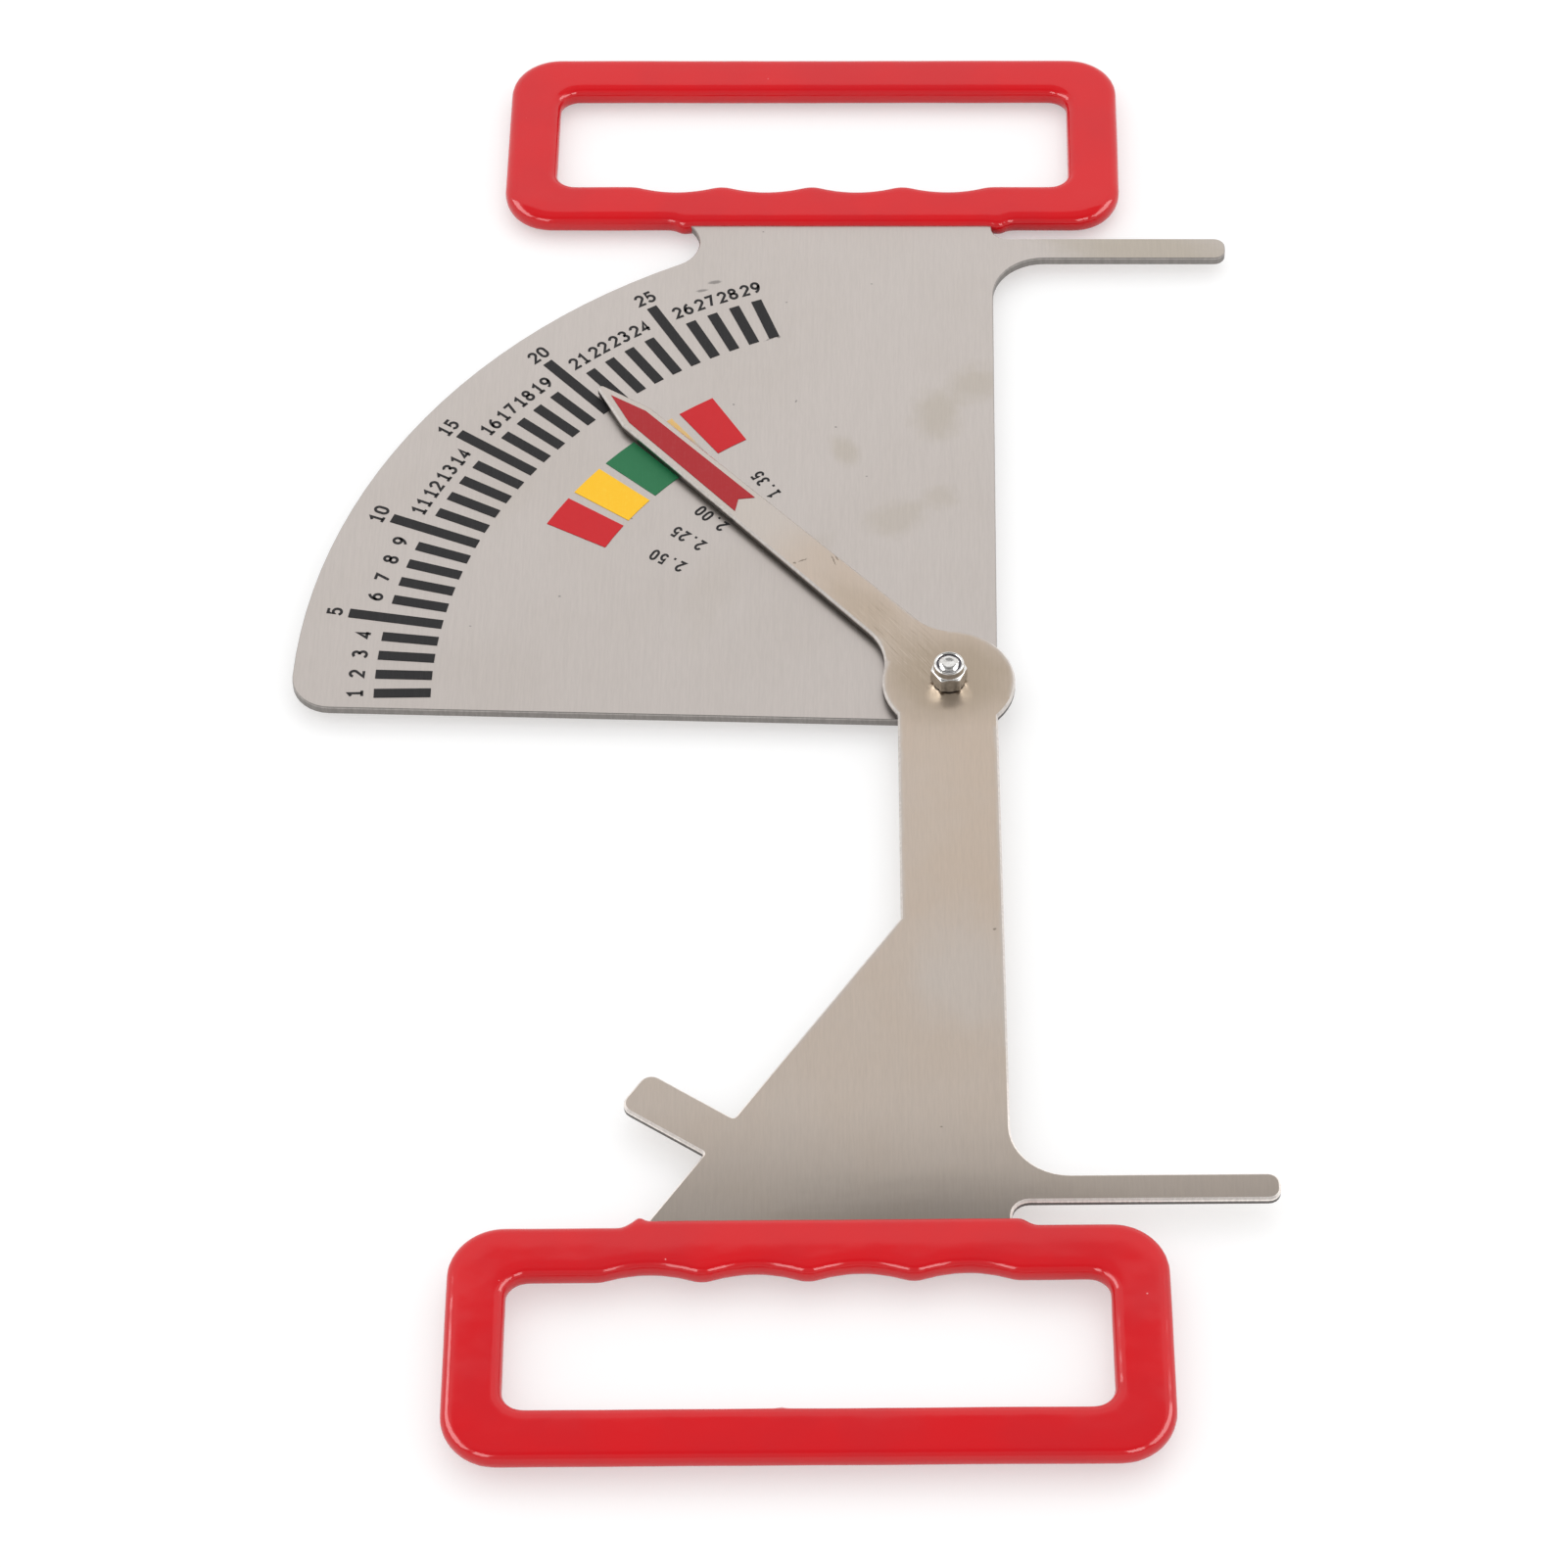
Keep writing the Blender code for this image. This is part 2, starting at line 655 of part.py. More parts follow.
def build_bolt(parts, cutters, frame):
    """Hexagon head down on the surface, shank up through both sheets and the nut."""
    bolt = prism("pivot_bolt", HEAD_FLATS, HEAD_HEIGHT, parts)
    limit_profile = hex_limit(HEAD_FLATS, HEAD_HEIGHT, 0, corner_fall(HEAD_FLATS))
    limit = turned("bolt_head_limit", limit_profile, cutters)
    end = NUT_LEVEL + NUT_HEIGHT + BOLT_PROUD
    shank = turned(
        "bolt_shank",
        [
            (0, end),
            (BOLT_RADIUS - BOLT_CHAMFER, end),
            (BOLT_RADIUS, end - BOLT_CHAMFER),
            (BOLT_RADIUS, HEAD_HEIGHT / 2),
            (0, HEAD_HEIGHT / 2),
        ],
        cutters,
    )
    combine(bolt, limit, "INTERSECT")
    combine(bolt, shank, "UNION")
    return finish(bolt, "bright_zinc", frame)


def ring_pocket():
    """Foot and top, in the nut, of the pocket that holds the plastic ring."""
    top = NUT_HEIGHT - COLLAR_LIP
    return top - RING_HEIGHT - 2 * RING_GAP, top


def build_nut(parts, cutters, frame):
    bore = BOLT_RADIUS + SEAT_GAP
    pocket_foot, pocket_top = ring_pocket()
    past = COLLAR_RADIUS
    nut = prism("lock_nut", NUT_FLATS, NUT_HEX_HEIGHT, parts)
    limit_profile = hex_limit(NUT_FLATS, NUT_HEX_HEIGHT, corner_fall(NUT_FLATS), NUT_FOOT_CHAMFER)
    limit = turned("nut_hex_limit", limit_profile, cutters)
    round_centre = (COLLAR_RADIUS - COLLAR_ROUND, NUT_HEIGHT - COLLAR_ROUND)
    shoulder = arc(round_centre, COLLAR_ROUND, 90, 0, FINE_CHORD)
    collar_foot = NUT_HEX_HEIGHT / 2
    collar_profile = [(0, NUT_HEIGHT), *shoulder, (COLLAR_RADIUS, collar_foot), (0, collar_foot)]
    collar = turned("nut_collar", collar_profile, cutters)
    hole_profile = [
        (0, NUT_HEIGHT + past),
        (LIP_RADIUS, NUT_HEIGHT + past),
        (LIP_RADIUS, pocket_top),
        (POCKET_RADIUS, pocket_top),
        (POCKET_RADIUS, pocket_foot),
        (bore, pocket_foot),
        (bore, -past),
        (0, -past),
    ]
    hole = turned("nut_hole", hole_profile, cutters)
    for obj in (nut, limit, collar, hole):
        obj.location.z = NUT_LEVEL
        obj.rotation_euler.z = math.radians(NUT_TURN)
    combine(nut, limit, "INTERSECT")
    combine(nut, collar, "UNION")
    combine(nut, hole, "DIFFERENCE")
    return finish(nut, "bright_zinc", frame)


def build_ring(parts, frame):
    """The plastic ring that grips the bolt's thread, held under the nut's rolled lip."""
    pocket_foot, pocket_top = ring_pocket()
    outer = POCKET_RADIUS - RING_GAP
    inner = BOLT_RADIUS + RING_GAP
    top = pocket_top - RING_GAP
    foot = pocket_foot + RING_GAP
    profile = [(inner, top), (outer, top), (outer, foot), (inner, foot)]
    ring = turned("nut_ring", profile, parts, ring=True)
    ring.location.z = NUT_LEVEL
    return finish(ring, "ring_plastic", frame)


def scale_angle(division):
    """The angle of a division of the scale, counted from 1, in degrees from +X."""
    return TICK_FIRST - TICK_PITCH * (division - 1)


def build_ticks(parts, frame):
    for number in range(1, TICKS + 1):
        long_tick = number % TICK_LONG_EVERY == 0
        outer = TICK_INNER + (TICK_LONG_LENGTH if long_tick else TICK_LENGTH)
        mesh = bpy.data.meshes.new(f"tick_{number:02d}")
        body = bmesh.new()
        bmesh.ops.create_cube(body, size=1)
        bmesh.ops.scale(body, verts=body.verts, vec=(outer - TICK_INNER, TICK_WIDTH, FILM))
        body.to_mesh(mesh)
        body.free()
        tick = bpy.data.objects.new(mesh.name, mesh)
        parts.objects.link(tick)
        middle = polar((TICK_INNER + outer) / 2, scale_angle(number))
        tick.location = (*middle, PLATE_LEVEL + SHEET + FILM_GAP + FILM / 2)
        tick.rotation_euler.z = math.radians(scale_angle(number))
        finish(tick, "ink_black", frame)


def build_zones(parts, frame):
    for index, colour in enumerate(ZONE_COLOURS):
        middle = ZONE_FIRST + index * ZONE_PITCH
        start = scale_angle(middle + ZONE_SPAN / 2)
        end = scale_angle(middle - ZONE_SPAN / 2)
        outline = arc((0, 0), ZONE_OUTER, start, end, FINE_CHORD)
        outline += arc((0, 0), ZONE_OUTER - ZONE_DEPTH, end, start, FINE_CHORD)
        zone = sheet_body(f"zone_{index + 1}_{colour}", [outline], FILM, 0, 0, parts)
        zone.location.z = PLATE_LEVEL + SHEET + FILM_GAP
        finish(zone, "ink_" + colour, frame)


def build_arrow(parts, swing):
    apex = POINTER_APEX - ARROW_SET
    shoulder = apex - ARROW_TAPER
    tail = apex - ARROW_LENGTH
    shoulder_half = pointer_half(shoulder) - ARROW_MARGIN
    tail_half = pointer_half(tail) - ARROW_MARGIN
    outline = [
        pointer_point(apex, 0),
        pointer_point(shoulder, shoulder_half),
        pointer_point(tail, tail_half),
        pointer_point(tail + ARROW_NOTCH, 0),
        pointer_point(tail, -tail_half),
        pointer_point(shoulder, -shoulder_half),
    ]
    arrow = sheet_body("pointer_arrow", [outline], FILM, 0, 0, parts)
    arrow.location.z = ARM_LEVEL + SHEET + FILM_GAP
    return finish(arrow, "ink_red", swing)


def new_empty(name, parts):
    empty = bpy.data.objects.new(name, None)
    empty.empty_display_size = HUB_RADIUS
    parts.objects.link(empty)
    return empty


def build():
    clear_scene()
    for name in FINISHES:
        make_material(name)
    parts = new_collection("backfat_caliper")
    cutters = new_collection("cutters")
    frame = new_empty("scale_frame", parts)
    swing = new_empty("arm_pivot", parts)
    swing.rotation_euler.z = math.radians(ARM_SWING)
    build_scale_plate(parts, frame)
    build_pointer_arm(parts, swing)
    build_grip("upper_grip", UPPER, PLATE_LEVEL, parts, cutters, frame)
    build_grip("lower_grip", LOWER, ARM_LEVEL, parts, cutters, swing)
    build_bolt(parts, cutters, frame)
    build_nut(parts, cutters, frame)
    build_ring(parts, frame)
    build_ticks(parts, frame)
    build_zones(parts, frame)
    build_arrow(parts, swing)
    bpy.context.view_layer.update()


build()
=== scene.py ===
"""The looks of the backfat caliper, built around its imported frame.

Everything is in metres in the frame's axes. The caliper lies on z = 0, its pivot's axis goes through
x = y = 0, the scale plate's handle is towards +Y and the pointer arm's handle towards -Y.
Angles are in degrees, and colours are linear.
"""

import json
import math
from typing import NamedTuple

import bmesh
import bpy
from mathutils import Matrix, Vector, noise


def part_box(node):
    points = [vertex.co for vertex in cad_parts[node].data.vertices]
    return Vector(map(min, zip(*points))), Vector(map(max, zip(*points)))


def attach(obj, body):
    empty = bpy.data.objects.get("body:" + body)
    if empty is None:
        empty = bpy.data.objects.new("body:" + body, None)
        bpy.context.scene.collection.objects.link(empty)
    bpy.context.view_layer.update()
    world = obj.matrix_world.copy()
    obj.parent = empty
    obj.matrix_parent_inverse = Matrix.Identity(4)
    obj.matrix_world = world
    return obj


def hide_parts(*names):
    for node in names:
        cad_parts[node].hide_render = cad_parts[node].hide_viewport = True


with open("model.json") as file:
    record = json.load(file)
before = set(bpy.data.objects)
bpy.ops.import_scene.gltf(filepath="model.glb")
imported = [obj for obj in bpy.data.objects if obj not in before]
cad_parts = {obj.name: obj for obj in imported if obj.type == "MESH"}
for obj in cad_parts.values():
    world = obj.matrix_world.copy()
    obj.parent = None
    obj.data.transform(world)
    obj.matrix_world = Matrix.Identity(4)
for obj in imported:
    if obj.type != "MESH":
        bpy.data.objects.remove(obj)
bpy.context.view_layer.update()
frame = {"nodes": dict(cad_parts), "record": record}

MM = 0.001

# Levels, read from the frame
PLATE_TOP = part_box("scale_plate")[1][2]
ARM_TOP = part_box("pointer_arm")[1][2]
NUT_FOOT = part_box("lock_nut")[0][2]
BOLT_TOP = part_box("pivot_bolt")[1][2]

# How the pointer arm is turned from straight, as in the frame
ARM_SWING = 0.80


# Node building


def put(tree, socket, value):
    """Links a socket into another one, or sets its value."""
    if isinstance(value, bpy.types.NodeSocket):
        tree.links.new(value, socket)
    else:
        socket.default_value = value


def add(tree, kind, inputs=(), **settings):
    """Adds a node; inputs is a dict of input name or index to a value or an output socket."""
    made = tree.nodes.new(kind)
    for name, value in settings.items():
        setattr(made, name, value)
    for key, value in dict(inputs).items():
        put(tree, made.inputs[key], value)
    return made


def calc(tree, operation, *values):
    return add(tree, "ShaderNodeMath", dict(enumerate(values)), operation=operation).outputs[0]


def times(tree, first, second):
    return calc(tree, "MULTIPLY", first, second)


def either(tree, share, first, second):
    """The first number where share is 1, and the second where it is 0."""
    return calc(tree, "MULTIPLY_ADD", share, calc(tree, "SUBTRACT", first, second), second)


def vector_calc(tree, operation, *values):
    return add(tree, "ShaderNodeVectorMath", dict(enumerate(values)), operation=operation).outputs[0]


def length_of(tree, vector):
    return add(tree, "ShaderNodeVectorMath", {0: vector}, operation="LENGTH").outputs["Value"]


def parts_of(tree, vector):
    """The x, y and z of a vector."""
    return add(tree, "ShaderNodeSeparateXYZ", {0: vector}).outputs


def grey_of(tree, value):
    """A colour with one value in its three channels."""
    return add(tree, "ShaderNodeCombineXYZ", {0: value, 1: value, 2: value}).outputs[0]


def ramp(tree, value, low, high, start=0.0, end=1.0):
    """start below low, end above high, and a smooth step between."""
    limits = {"Value": value, "From Min": low, "From Max": high, "To Min": start, "To Max": end}
    made = add(tree, "ShaderNodeMapRange", limits, interpolation_type="SMOOTHSTEP")
    return made.outputs["Result"]


def blend(tree, factor, first, second, mode="MIX"):
    """Mixes two colours."""
    made = add(tree, "ShaderNodeMix", data_type="RGBA", blend_type=mode)
    put(tree, made.inputs[0], factor)
    put(tree, made.inputs[6], first if isinstance(first, bpy.types.NodeSocket) else (*first, 1.0))
    put(tree, made.inputs[7], second if isinstance(second, bpy.types.NodeSocket) else (*second, 1.0))
    return made.outputs[2]


def stain(tree, colour, mask, strength, tint):
    """Lays a tint over a colour where a mask is 1."""
    return blend(tree, times(tree, mask, strength), colour, tint)


def speckle(tree, vector, scale, detail=3.0, roughness=0.5):
    """A noise value between about 0.2 and 0.8."""
    limits = {"Vector": vector, "Scale": scale, "Detail": detail, "Roughness": roughness}
    return add(tree, "ShaderNodeTexNoise", limits).outputs["Fac"]


def stretch(tree, vector, scale, angle=0.0):
    """The vector turned about Z by an angle, then scaled along each axis."""
    limits = {"Vector": vector, "Angle": math.radians(angle)}
    turned = add(tree, "ShaderNodeVectorRotate", limits, rotation_type="Z_AXIS")
    return vector_calc(tree, "MULTIPLY", turned.outputs[0], scale)


def grain(tree, vector, counts, detail=2.0, roughness=0.6, angle=0.0):
    """Noise with its own count to a metre along each axis, as long streaks where one is small."""
    return speckle(tree, stretch(tree, vector, counts, angle), 1.0, detail, roughness)


def bump(tree, shader, strength, distance, height, **inputs):
    """Raises the shader's surface by a height, and gives the normal for a bump on top of it."""
    inputs.update({"Strength": strength, "Distance": distance, "Height": height})
    normal = add(tree, "ShaderNodeBump", inputs).outputs[0]
    put(tree, shader.inputs["Normal"], normal)
    return normal


def new_material(name):
    """A material, its nodes, its shader and its object coordinates."""
    material = bpy.data.materials.new(name)
    material.use_nodes = True
    tree = material.node_tree
    return material, tree, tree.nodes["Principled BSDF"], object_vector(tree)


def object_vector(tree):
    return tree.nodes.new("ShaderNodeTexCoord").outputs["Object"]


def object_normal(tree):
    return tree.nodes.new("ShaderNodeTexCoord").outputs["Normal"]


# Marks on the steel

# Between these heights of the surface's normal a cut edge turns into a flat face
FACE_NORMAL = (0.75, 0.97)
MARK_WOBBLE = 0.6 * MM
MARK_WOBBLE_COUNT = 1700.0
MARK_STRENGTH = 0.62


def upper_face(tree):
    """1 on the printed side and 0 on the edges and the underside."""
    return ramp(tree, parts_of(tree, object_normal(tree))[2], *FACE_NORMAL)


def spot(tree, vector, x, y, across, up, angle, ragged, seed):
    """A soft ragged spot: 1 at its centre and 0 outside its radii. The place and the radii are in mm."""
    moved = vector_calc(tree, "SUBTRACT", vector, (x * MM, y * MM, 0.0))
    local = stretch(tree, moved, (1 / (across * MM), 1 / (up * MM), 0.0), -angle)
    edge = speckle(tree, vector_calc(tree, "ADD", local, (seed, seed, seed)), 1.6, 4.0, 0.65)
    shift = times(tree, calc(tree, "SUBTRACT", edge, 0.5), ragged * 2)
    return ramp(tree, calc(tree, "ADD", length_of(tree, local), shift), 0.25, 1.0, 1.0, 0.0)


def marks(tree, vector, table):
    """Small ragged marks: 1 on them and 0 off. table holds (x, y, half length, half width, angle) in mm."""
    limits = {"Vector": vector, "Scale": MARK_WOBBLE_COUNT, "Detail": 2.0}
    wobble = add(tree, "ShaderNodeTexNoise", limits).outputs["Color"]
    spread, middle = (MARK_WOBBLE, MARK_WOBBLE, 0.0), (-MARK_WOBBLE / 2, -MARK_WOBBLE / 2, 0.0)
    moved = vector_calc(tree, "ADD", vector, vector_calc(tree, "MULTIPLY_ADD", wobble, spread, middle))
    total = 0.0
    for x, y, length, width, angle in table:
        centred = vector_calc(tree, "ADD", moved, (-x * MM, -y * MM, 0.0))
        away = length_of(tree, stretch(tree, centred, (1000 / length, 1000 / width, 0.0), -angle))
        total = calc(tree, "MAXIMUM", total, ramp(tree, away, 0.5, 1.0, 1.0, 0.0))
    return total


# Steel

# The tone of the cut edges, before how bright each strip of them is, which is partly painted light
EDGE_STEEL = (0.600, 0.560, 0.528)

# Brushing along Y: short and long streaks, how many to a metre along each axis
SHORT_GRAIN = (2600.0, 230.0, 900.0)
LONG_GRAIN = (1500.0, 45.0, 900.0)
SAWN_GRAIN = (1300.0, 1300.0, 260.0)
SHORT_SHARE = 0.6
ANISOTROPY = 0.55
FACE_ROUGHNESS = (0.32, 0.39)
EDGE_ROUGHNESS = 0.45

# The polished strip's lower border: how wavy it is, and how far it fades down and up
STRIP_WAVE = 0.16 * MM
STRIP_DOWN = 0.1 * MM
STRIP_UP = 0.3 * MM


def cut_edge(tree, vector, top, burnish, torn_shade, polished_glint):
    """The sheet's cut edge: how bright it is, 1 as the top, with a polished strip over a dull torn one. The
    polished strip's brightness is partly painted highlight, a painted reflection of the lit floor, and the
    torn strip's darkness is partly painted shade.
    """
    sawn = grain(tree, vector, SAWN_GRAIN)
    wavy = calc(tree, "MULTIPLY_ADD", sawn, STRIP_WAVE, parts_of(tree, vector)[2])
    strip = ramp(tree, wavy, top - burnish - STRIP_DOWN, top - burnish + STRIP_UP, torn_shade, polished_glint)
    return times(tree, strip, ramp(tree, sawn, 0.3, 0.7, 0.92, 1.08))


def brushed_tangent(tree, flat):
    """Across the brushing on the flat faces, and along the outline on the cut edges."""
    along = vector_calc(tree, "CROSS_PRODUCT", object_normal(tree), (0.0, 0.0, 1.0))
    chosen = add(tree, "ShaderNodeMix", data_type="VECTOR")
    put(tree, chosen.inputs[0], flat)
    put(tree, chosen.inputs[4], along)
    put(tree, chosen.inputs[5], (1.0, 0.0, 0.0))
    spaces = {"vector_type": "VECTOR", "convert_from": "OBJECT", "convert_to": "WORLD"}
    return add(tree, "ShaderNodeVectorTransform", {"Vector": chosen.outputs[1]}, **spaces).outputs[0]


def brushed(tree, shader, vector, colour, contrast, edge_shade):
    """Brushing along the sheet's Y in the colour, roughness and surface, and the cut edges' shade, partly
    painted highlight and painted shade.
    """
    short = times(tree, grain(tree, vector, SHORT_GRAIN), SHORT_SHARE)
    long = times(tree, grain(tree, vector, LONG_GRAIN, roughness=0.5), 1.0 - SHORT_SHARE)
    streak = calc(tree, "ADD", short, long)
    flat = ramp(tree, calc(tree, "ABSOLUTE", parts_of(tree, object_normal(tree))[2]), *FACE_NORMAL)
    face_shade = ramp(tree, streak, 0.28, 0.72, 1.0 - contrast, 1.0 + contrast)
    shade = grey_of(tree, either(tree, flat, face_shade, edge_shade))
    steel = blend(tree, flat, EDGE_STEEL, colour)
    put(tree, shader.inputs["Base Color"], blend(tree, 1.0, steel, shade, "MULTIPLY"))
    shader.inputs["Metallic"].default_value = 1.0
    shader.inputs["Anisotropic"].default_value = ANISOTROPY
    put(tree, shader.inputs["Tangent"], brushed_tangent(tree, flat))
    face_roughness = ramp(tree, streak, 0.25, 0.75, *FACE_ROUGHNESS)
    put(tree, shader.inputs["Roughness"], either(tree, flat, face_roughness, EDGE_ROUGHNESS))
    bump(tree, shader, 0.10, 0.03 * MM, times(tree, streak, flat))


PLATE_STEEL = (0.588, 0.538, 0.507)
PLATE_CLOUD = (0.450, 0.395, 0.345)
SMUDGE_TAN = (0.455, 0.400, 0.320)
MARK_GREY = (0.150, 0.140, 0.135)
PLATE_CONTRAST = 0.040
PLATE_BURNISH = 0.5 * MM
# The torn and polished strips' brightness: partly painted shade and painted reflection of the lit floor
PLATE_TORN_SHADE = 0.42
PLATE_POLISHED_GLINT = 0.70
PLATE_CLOUDS = 22.0
PLATE_CLOUDINESS = 0.12
SMUDGE_TURN = 10.0
SMUDGE_RAGGED = 0.45

# x, y, radius across, radius up in mm, strength
PLATE_SMUDGES = (
    (-2.5, 93, 9, 12, 0.42), (8, 104, 10, 9, 0.40), (-26.4, 80, 5, 7.5, 0.40), (-13, 57, 12, 8, 0.32),
    (-2, 64, 6, 6, 0.28), (-34, 46, 9, 5, 0.20), (-115, 62, 16, 10, 0.10), (-60, 30, 22, 9, 0.10),
    (52, 153, 12, 42, 0.62),
)
PLATE_MARKS = (
    (-61.5, 140.6, 2.2, 0.8, 12), (-64.8, 137.5, 2.0, 0.6, 10), (-49.0, 159.4, 0.4, 0.25, 0),
    (-42.3, 133.2, 0.4, 0.3, 40), (-28.9, 88.3, 0.4, 0.3, 0), (-20.8, 71.1, 0.45, 0.3, 20),
    (-80.7, 56.4, 0.4, 0.3, 0), (-55.5, 96.3, 0.4, 0.35, 0), (-39.3, 97.5, 0.6, 0.35, 60),
    (-46.2, 120.0, 2.5, 0.22, 28), (-44.2, 120.6, 0.6, 0.6, 0), (-72.0, 124.0, 0.5, 0.25, 70),
    (-98.0, 30.0, 0.4, 0.3, 0), (-120.0, 20.0, 0.35, 0.3, 0), (-20.0, 140.0, 0.4, 0.25, 10),
)


def plate_material():
    """Grey brushed steel, with tan smudges and specks on its printed side."""
    material, tree, shader, vector = new_material("plate_steel")
    clouds = ramp(tree, speckle(tree, vector, PLATE_CLOUDS, 4.0, 0.6), 0.42, 0.70, 0.0, PLATE_CLOUDINESS)
    clean = blend(tree, clouds, PLATE_STEEL, PLATE_CLOUD)
    colour = clean
    for index, (x, y, across, up, strength) in enumerate(PLATE_SMUDGES):
        smudge = spot(tree, vector, x, y, across, up, SMUDGE_TURN * index, SMUDGE_RAGGED, 3.0 + index)
        colour = stain(tree, colour, smudge, strength, SMUDGE_TAN)
    colour = stain(tree, colour, marks(tree, vector, PLATE_MARKS), MARK_STRENGTH, MARK_GREY)
    colour = blend(tree, upper_face(tree), clean, colour)
    edge = cut_edge(tree, vector, PLATE_TOP, PLATE_BURNISH, PLATE_TORN_SHADE, PLATE_POLISHED_GLINT)
    brushed(tree, shader, vector, colour, PLATE_CONTRAST, edge)
    return material


# The pointer arm's outline before its turn
ARM_RIGHT = 11.9 * MM
ARM_LEFT = -12.75 * MM
FLARE_TOP = -74.4 * MM
FLARE_ANGLE = -124.0
ARM_FOOT = -112.0 * MM
HUB_RADIUS = 16.5 * MM
POINTER_ANGLE = 132.2
POINTER_OFFSET = 2.25 * MM
POINTER_HALF = 6.15 * MM
POINTER_FOOT = -16.0 * MM
POINTER_ROOT = (-7.7 * MM, 11.9 * MM)
ROOT_RADIUS = 9.5 * MM


def line_depth(tree, x, y, point, angle):
    """Distance to the left of a line through a point, heading along an angle."""
    nx, ny = -math.sin(math.radians(angle)), math.cos(math.radians(angle))
    along = calc(tree, "ADD", times(tree, x, nx), times(tree, y, ny))
    return calc(tree, "ADD", along, -(point[0] * nx + point[1] * ny))


def round_depth(tree, x, y, centre, radius):
    """How far inside a circle a point lies."""
    across, up = calc(tree, "SUBTRACT", x, centre[0]), calc(tree, "SUBTRACT", y, centre[1])
    place = add(tree, "ShaderNodeCombineXYZ", {0: across, 1: up}).outputs[0]
    return calc(tree, "SUBTRACT", radius, length_of(tree, place))


def arm_depth(tree, x, y):
    """How far inside the arm's outline a point lies: its straight edges, hub and pointer's root."""
    right = line_depth(tree, x, y, (ARM_RIGHT, 0), 90)
    left = line_depth(tree, x, y, (ARM_LEFT, 0), -90)
    flare = line_depth(tree, x, y, (ARM_LEFT, FLARE_TOP), FLARE_ANGLE)
    strap = calc(tree, "MAXIMUM", calc(tree, "MINIMUM", left, right), calc(tree, "MINIMUM", flare, right))
    below = calc(tree, "MINIMUM", strap, times(tree, y, -1.0))
    heading = math.radians(POINTER_ANGLE)
    middle = (POINTER_OFFSET * math.sin(heading), -POINTER_OFFSET * math.cos(heading))
    sides = [calc(tree, "ADD", line_depth(tree, x, y, middle, angle), POINTER_HALF)
             for angle in (POINTER_ANGLE - 180, POINTER_ANGLE)]
    above = calc(tree, "MINIMUM", calc(tree, "MINIMUM", *sides), calc(tree, "SUBTRACT", y, POINTER_FOOT))
    depth = round_depth(tree, x, y, (0.0, 0.0), HUB_RADIUS)
    root = round_depth(tree, x, y, POINTER_ROOT, ROOT_RADIUS)
    for form in (above, below, calc(tree, "SUBTRACT", ARM_FOOT, y), root):
        depth = calc(tree, "MAXIMUM", depth, form)
    return depth


ARM_TAN = (0.590, 0.488, 0.403)
ARM_GREY = (0.602, 0.548, 0.506)
HUB_TAN = (0.455, 0.372, 0.290)
ROOT_TAN = (0.440, 0.355, 0.265)
SCRATCH_PALE = (0.66, 0.57, 0.48)
SCRATCH_DEEP = (0.27, 0.21, 0.15)
MARK_BROWN = (0.13, 0.105, 0.075)
ARM_CONTRAST = 0.038
ARM_BURNISH = 1.0 * MM
# The strips' brightness, partly painted shade and painted highlight; the polished one is brighter than the
# top, most at the foot
ARM_TORN_SHADE = 0.24
ARM_POLISHED_GLINT_LOW = 1.60
ARM_POLISHED_GLINT = 1.20
ARM_CLOUDS = 30.0

# Where the tarnish starts inside the outline, and how ragged that border is
TARNISH_EDGE = (0.7 * MM, 2.1 * MM)
TARNISH_WOBBLE = 1.2 * MM

# Where the tarnish fades, in y - x along the pointer and in y towards the foot, and where in y
# the foot gets darker by painted shade and its cut edges brighter by painted highlight
POINTER_FADE = (72.0 * MM, 100.0 * MM)
FOOT_FADE = (-150.0 * MM, -60.0 * MM)
FOOT_SHADE = (-172.0 * MM, -125.0 * MM)
FOOT_GLINT_SPAN = (-135.0 * MM, -115.0 * MM)

# What is left of the tarnish at the tip, of the tarnish and of the brightness at the foot (painted shade),
# and how much the patch of painted shade takes away
TIP_SHARE = 0.12
FOOT_TARNISH_AND_SHADE = 0.62
SHADE_PATCH_SHARE = 0.26
SCRATCH_GRAIN = (150.0, 3200.0, 300.0)
SCRATCH_ANGLE = -127.0

# Spots on the arm: x, y, radius across, radius up in mm, angle, how ragged, seed
HUB_SPOT = (0, 1, 25, 21, 0.0, 0.25, 2.0)
ROOT_SPOT = (-19, 21, 24, 9, 132.0, 0.4, 5.0)
GREY_SPOT = (2, -92, 20, 26, 0.0, 0.4, 13.0)
SCRATCHED_SPOT = (-11, 12, 24, 11, 127.0, 0.3, 9.0)
# A broad patch of painted shade over the foot
SHADE_PATCH = (-4, -165, 60, 19, 0.0, 0.25, 15.0)
ARM_MARKS = (
    (-36.2, 40.3, 1.7, 0.25, 24), (-38.2, 39.4, 0.5, 0.35, 0), (-28.4, 40.2, 2.1, 0.25, 108),
    (-27.6, 41.0, 1.2, 0.2, 118), (9.6, -78.0, 0.5, 0.4, 0), (-4.0, -136.0, 0.4, 0.3, 0),
    (-9.0, 24.0, 0.5, 0.2, 130),
)


def tarnish(tree, vector, x, y, inner):
    """How tan the arm is: all but its edges, the pointer's tip and, in part, the foot."""
    pointer_fade = ramp(tree, calc(tree, "SUBTRACT", y, x), *POINTER_FADE, 1.0, TIP_SHARE)
    foot_fade = ramp(tree, y, *FOOT_FADE, FOOT_TARNISH_AND_SHADE, 1.0)
    clouds = ramp(tree, speckle(tree, vector, ARM_CLOUDS, 4.0, 0.6), 0.3, 0.7, 0.72, 1.0)
    return times(tree, times(tree, times(tree, inner, pointer_fade), foot_fade), clouds)


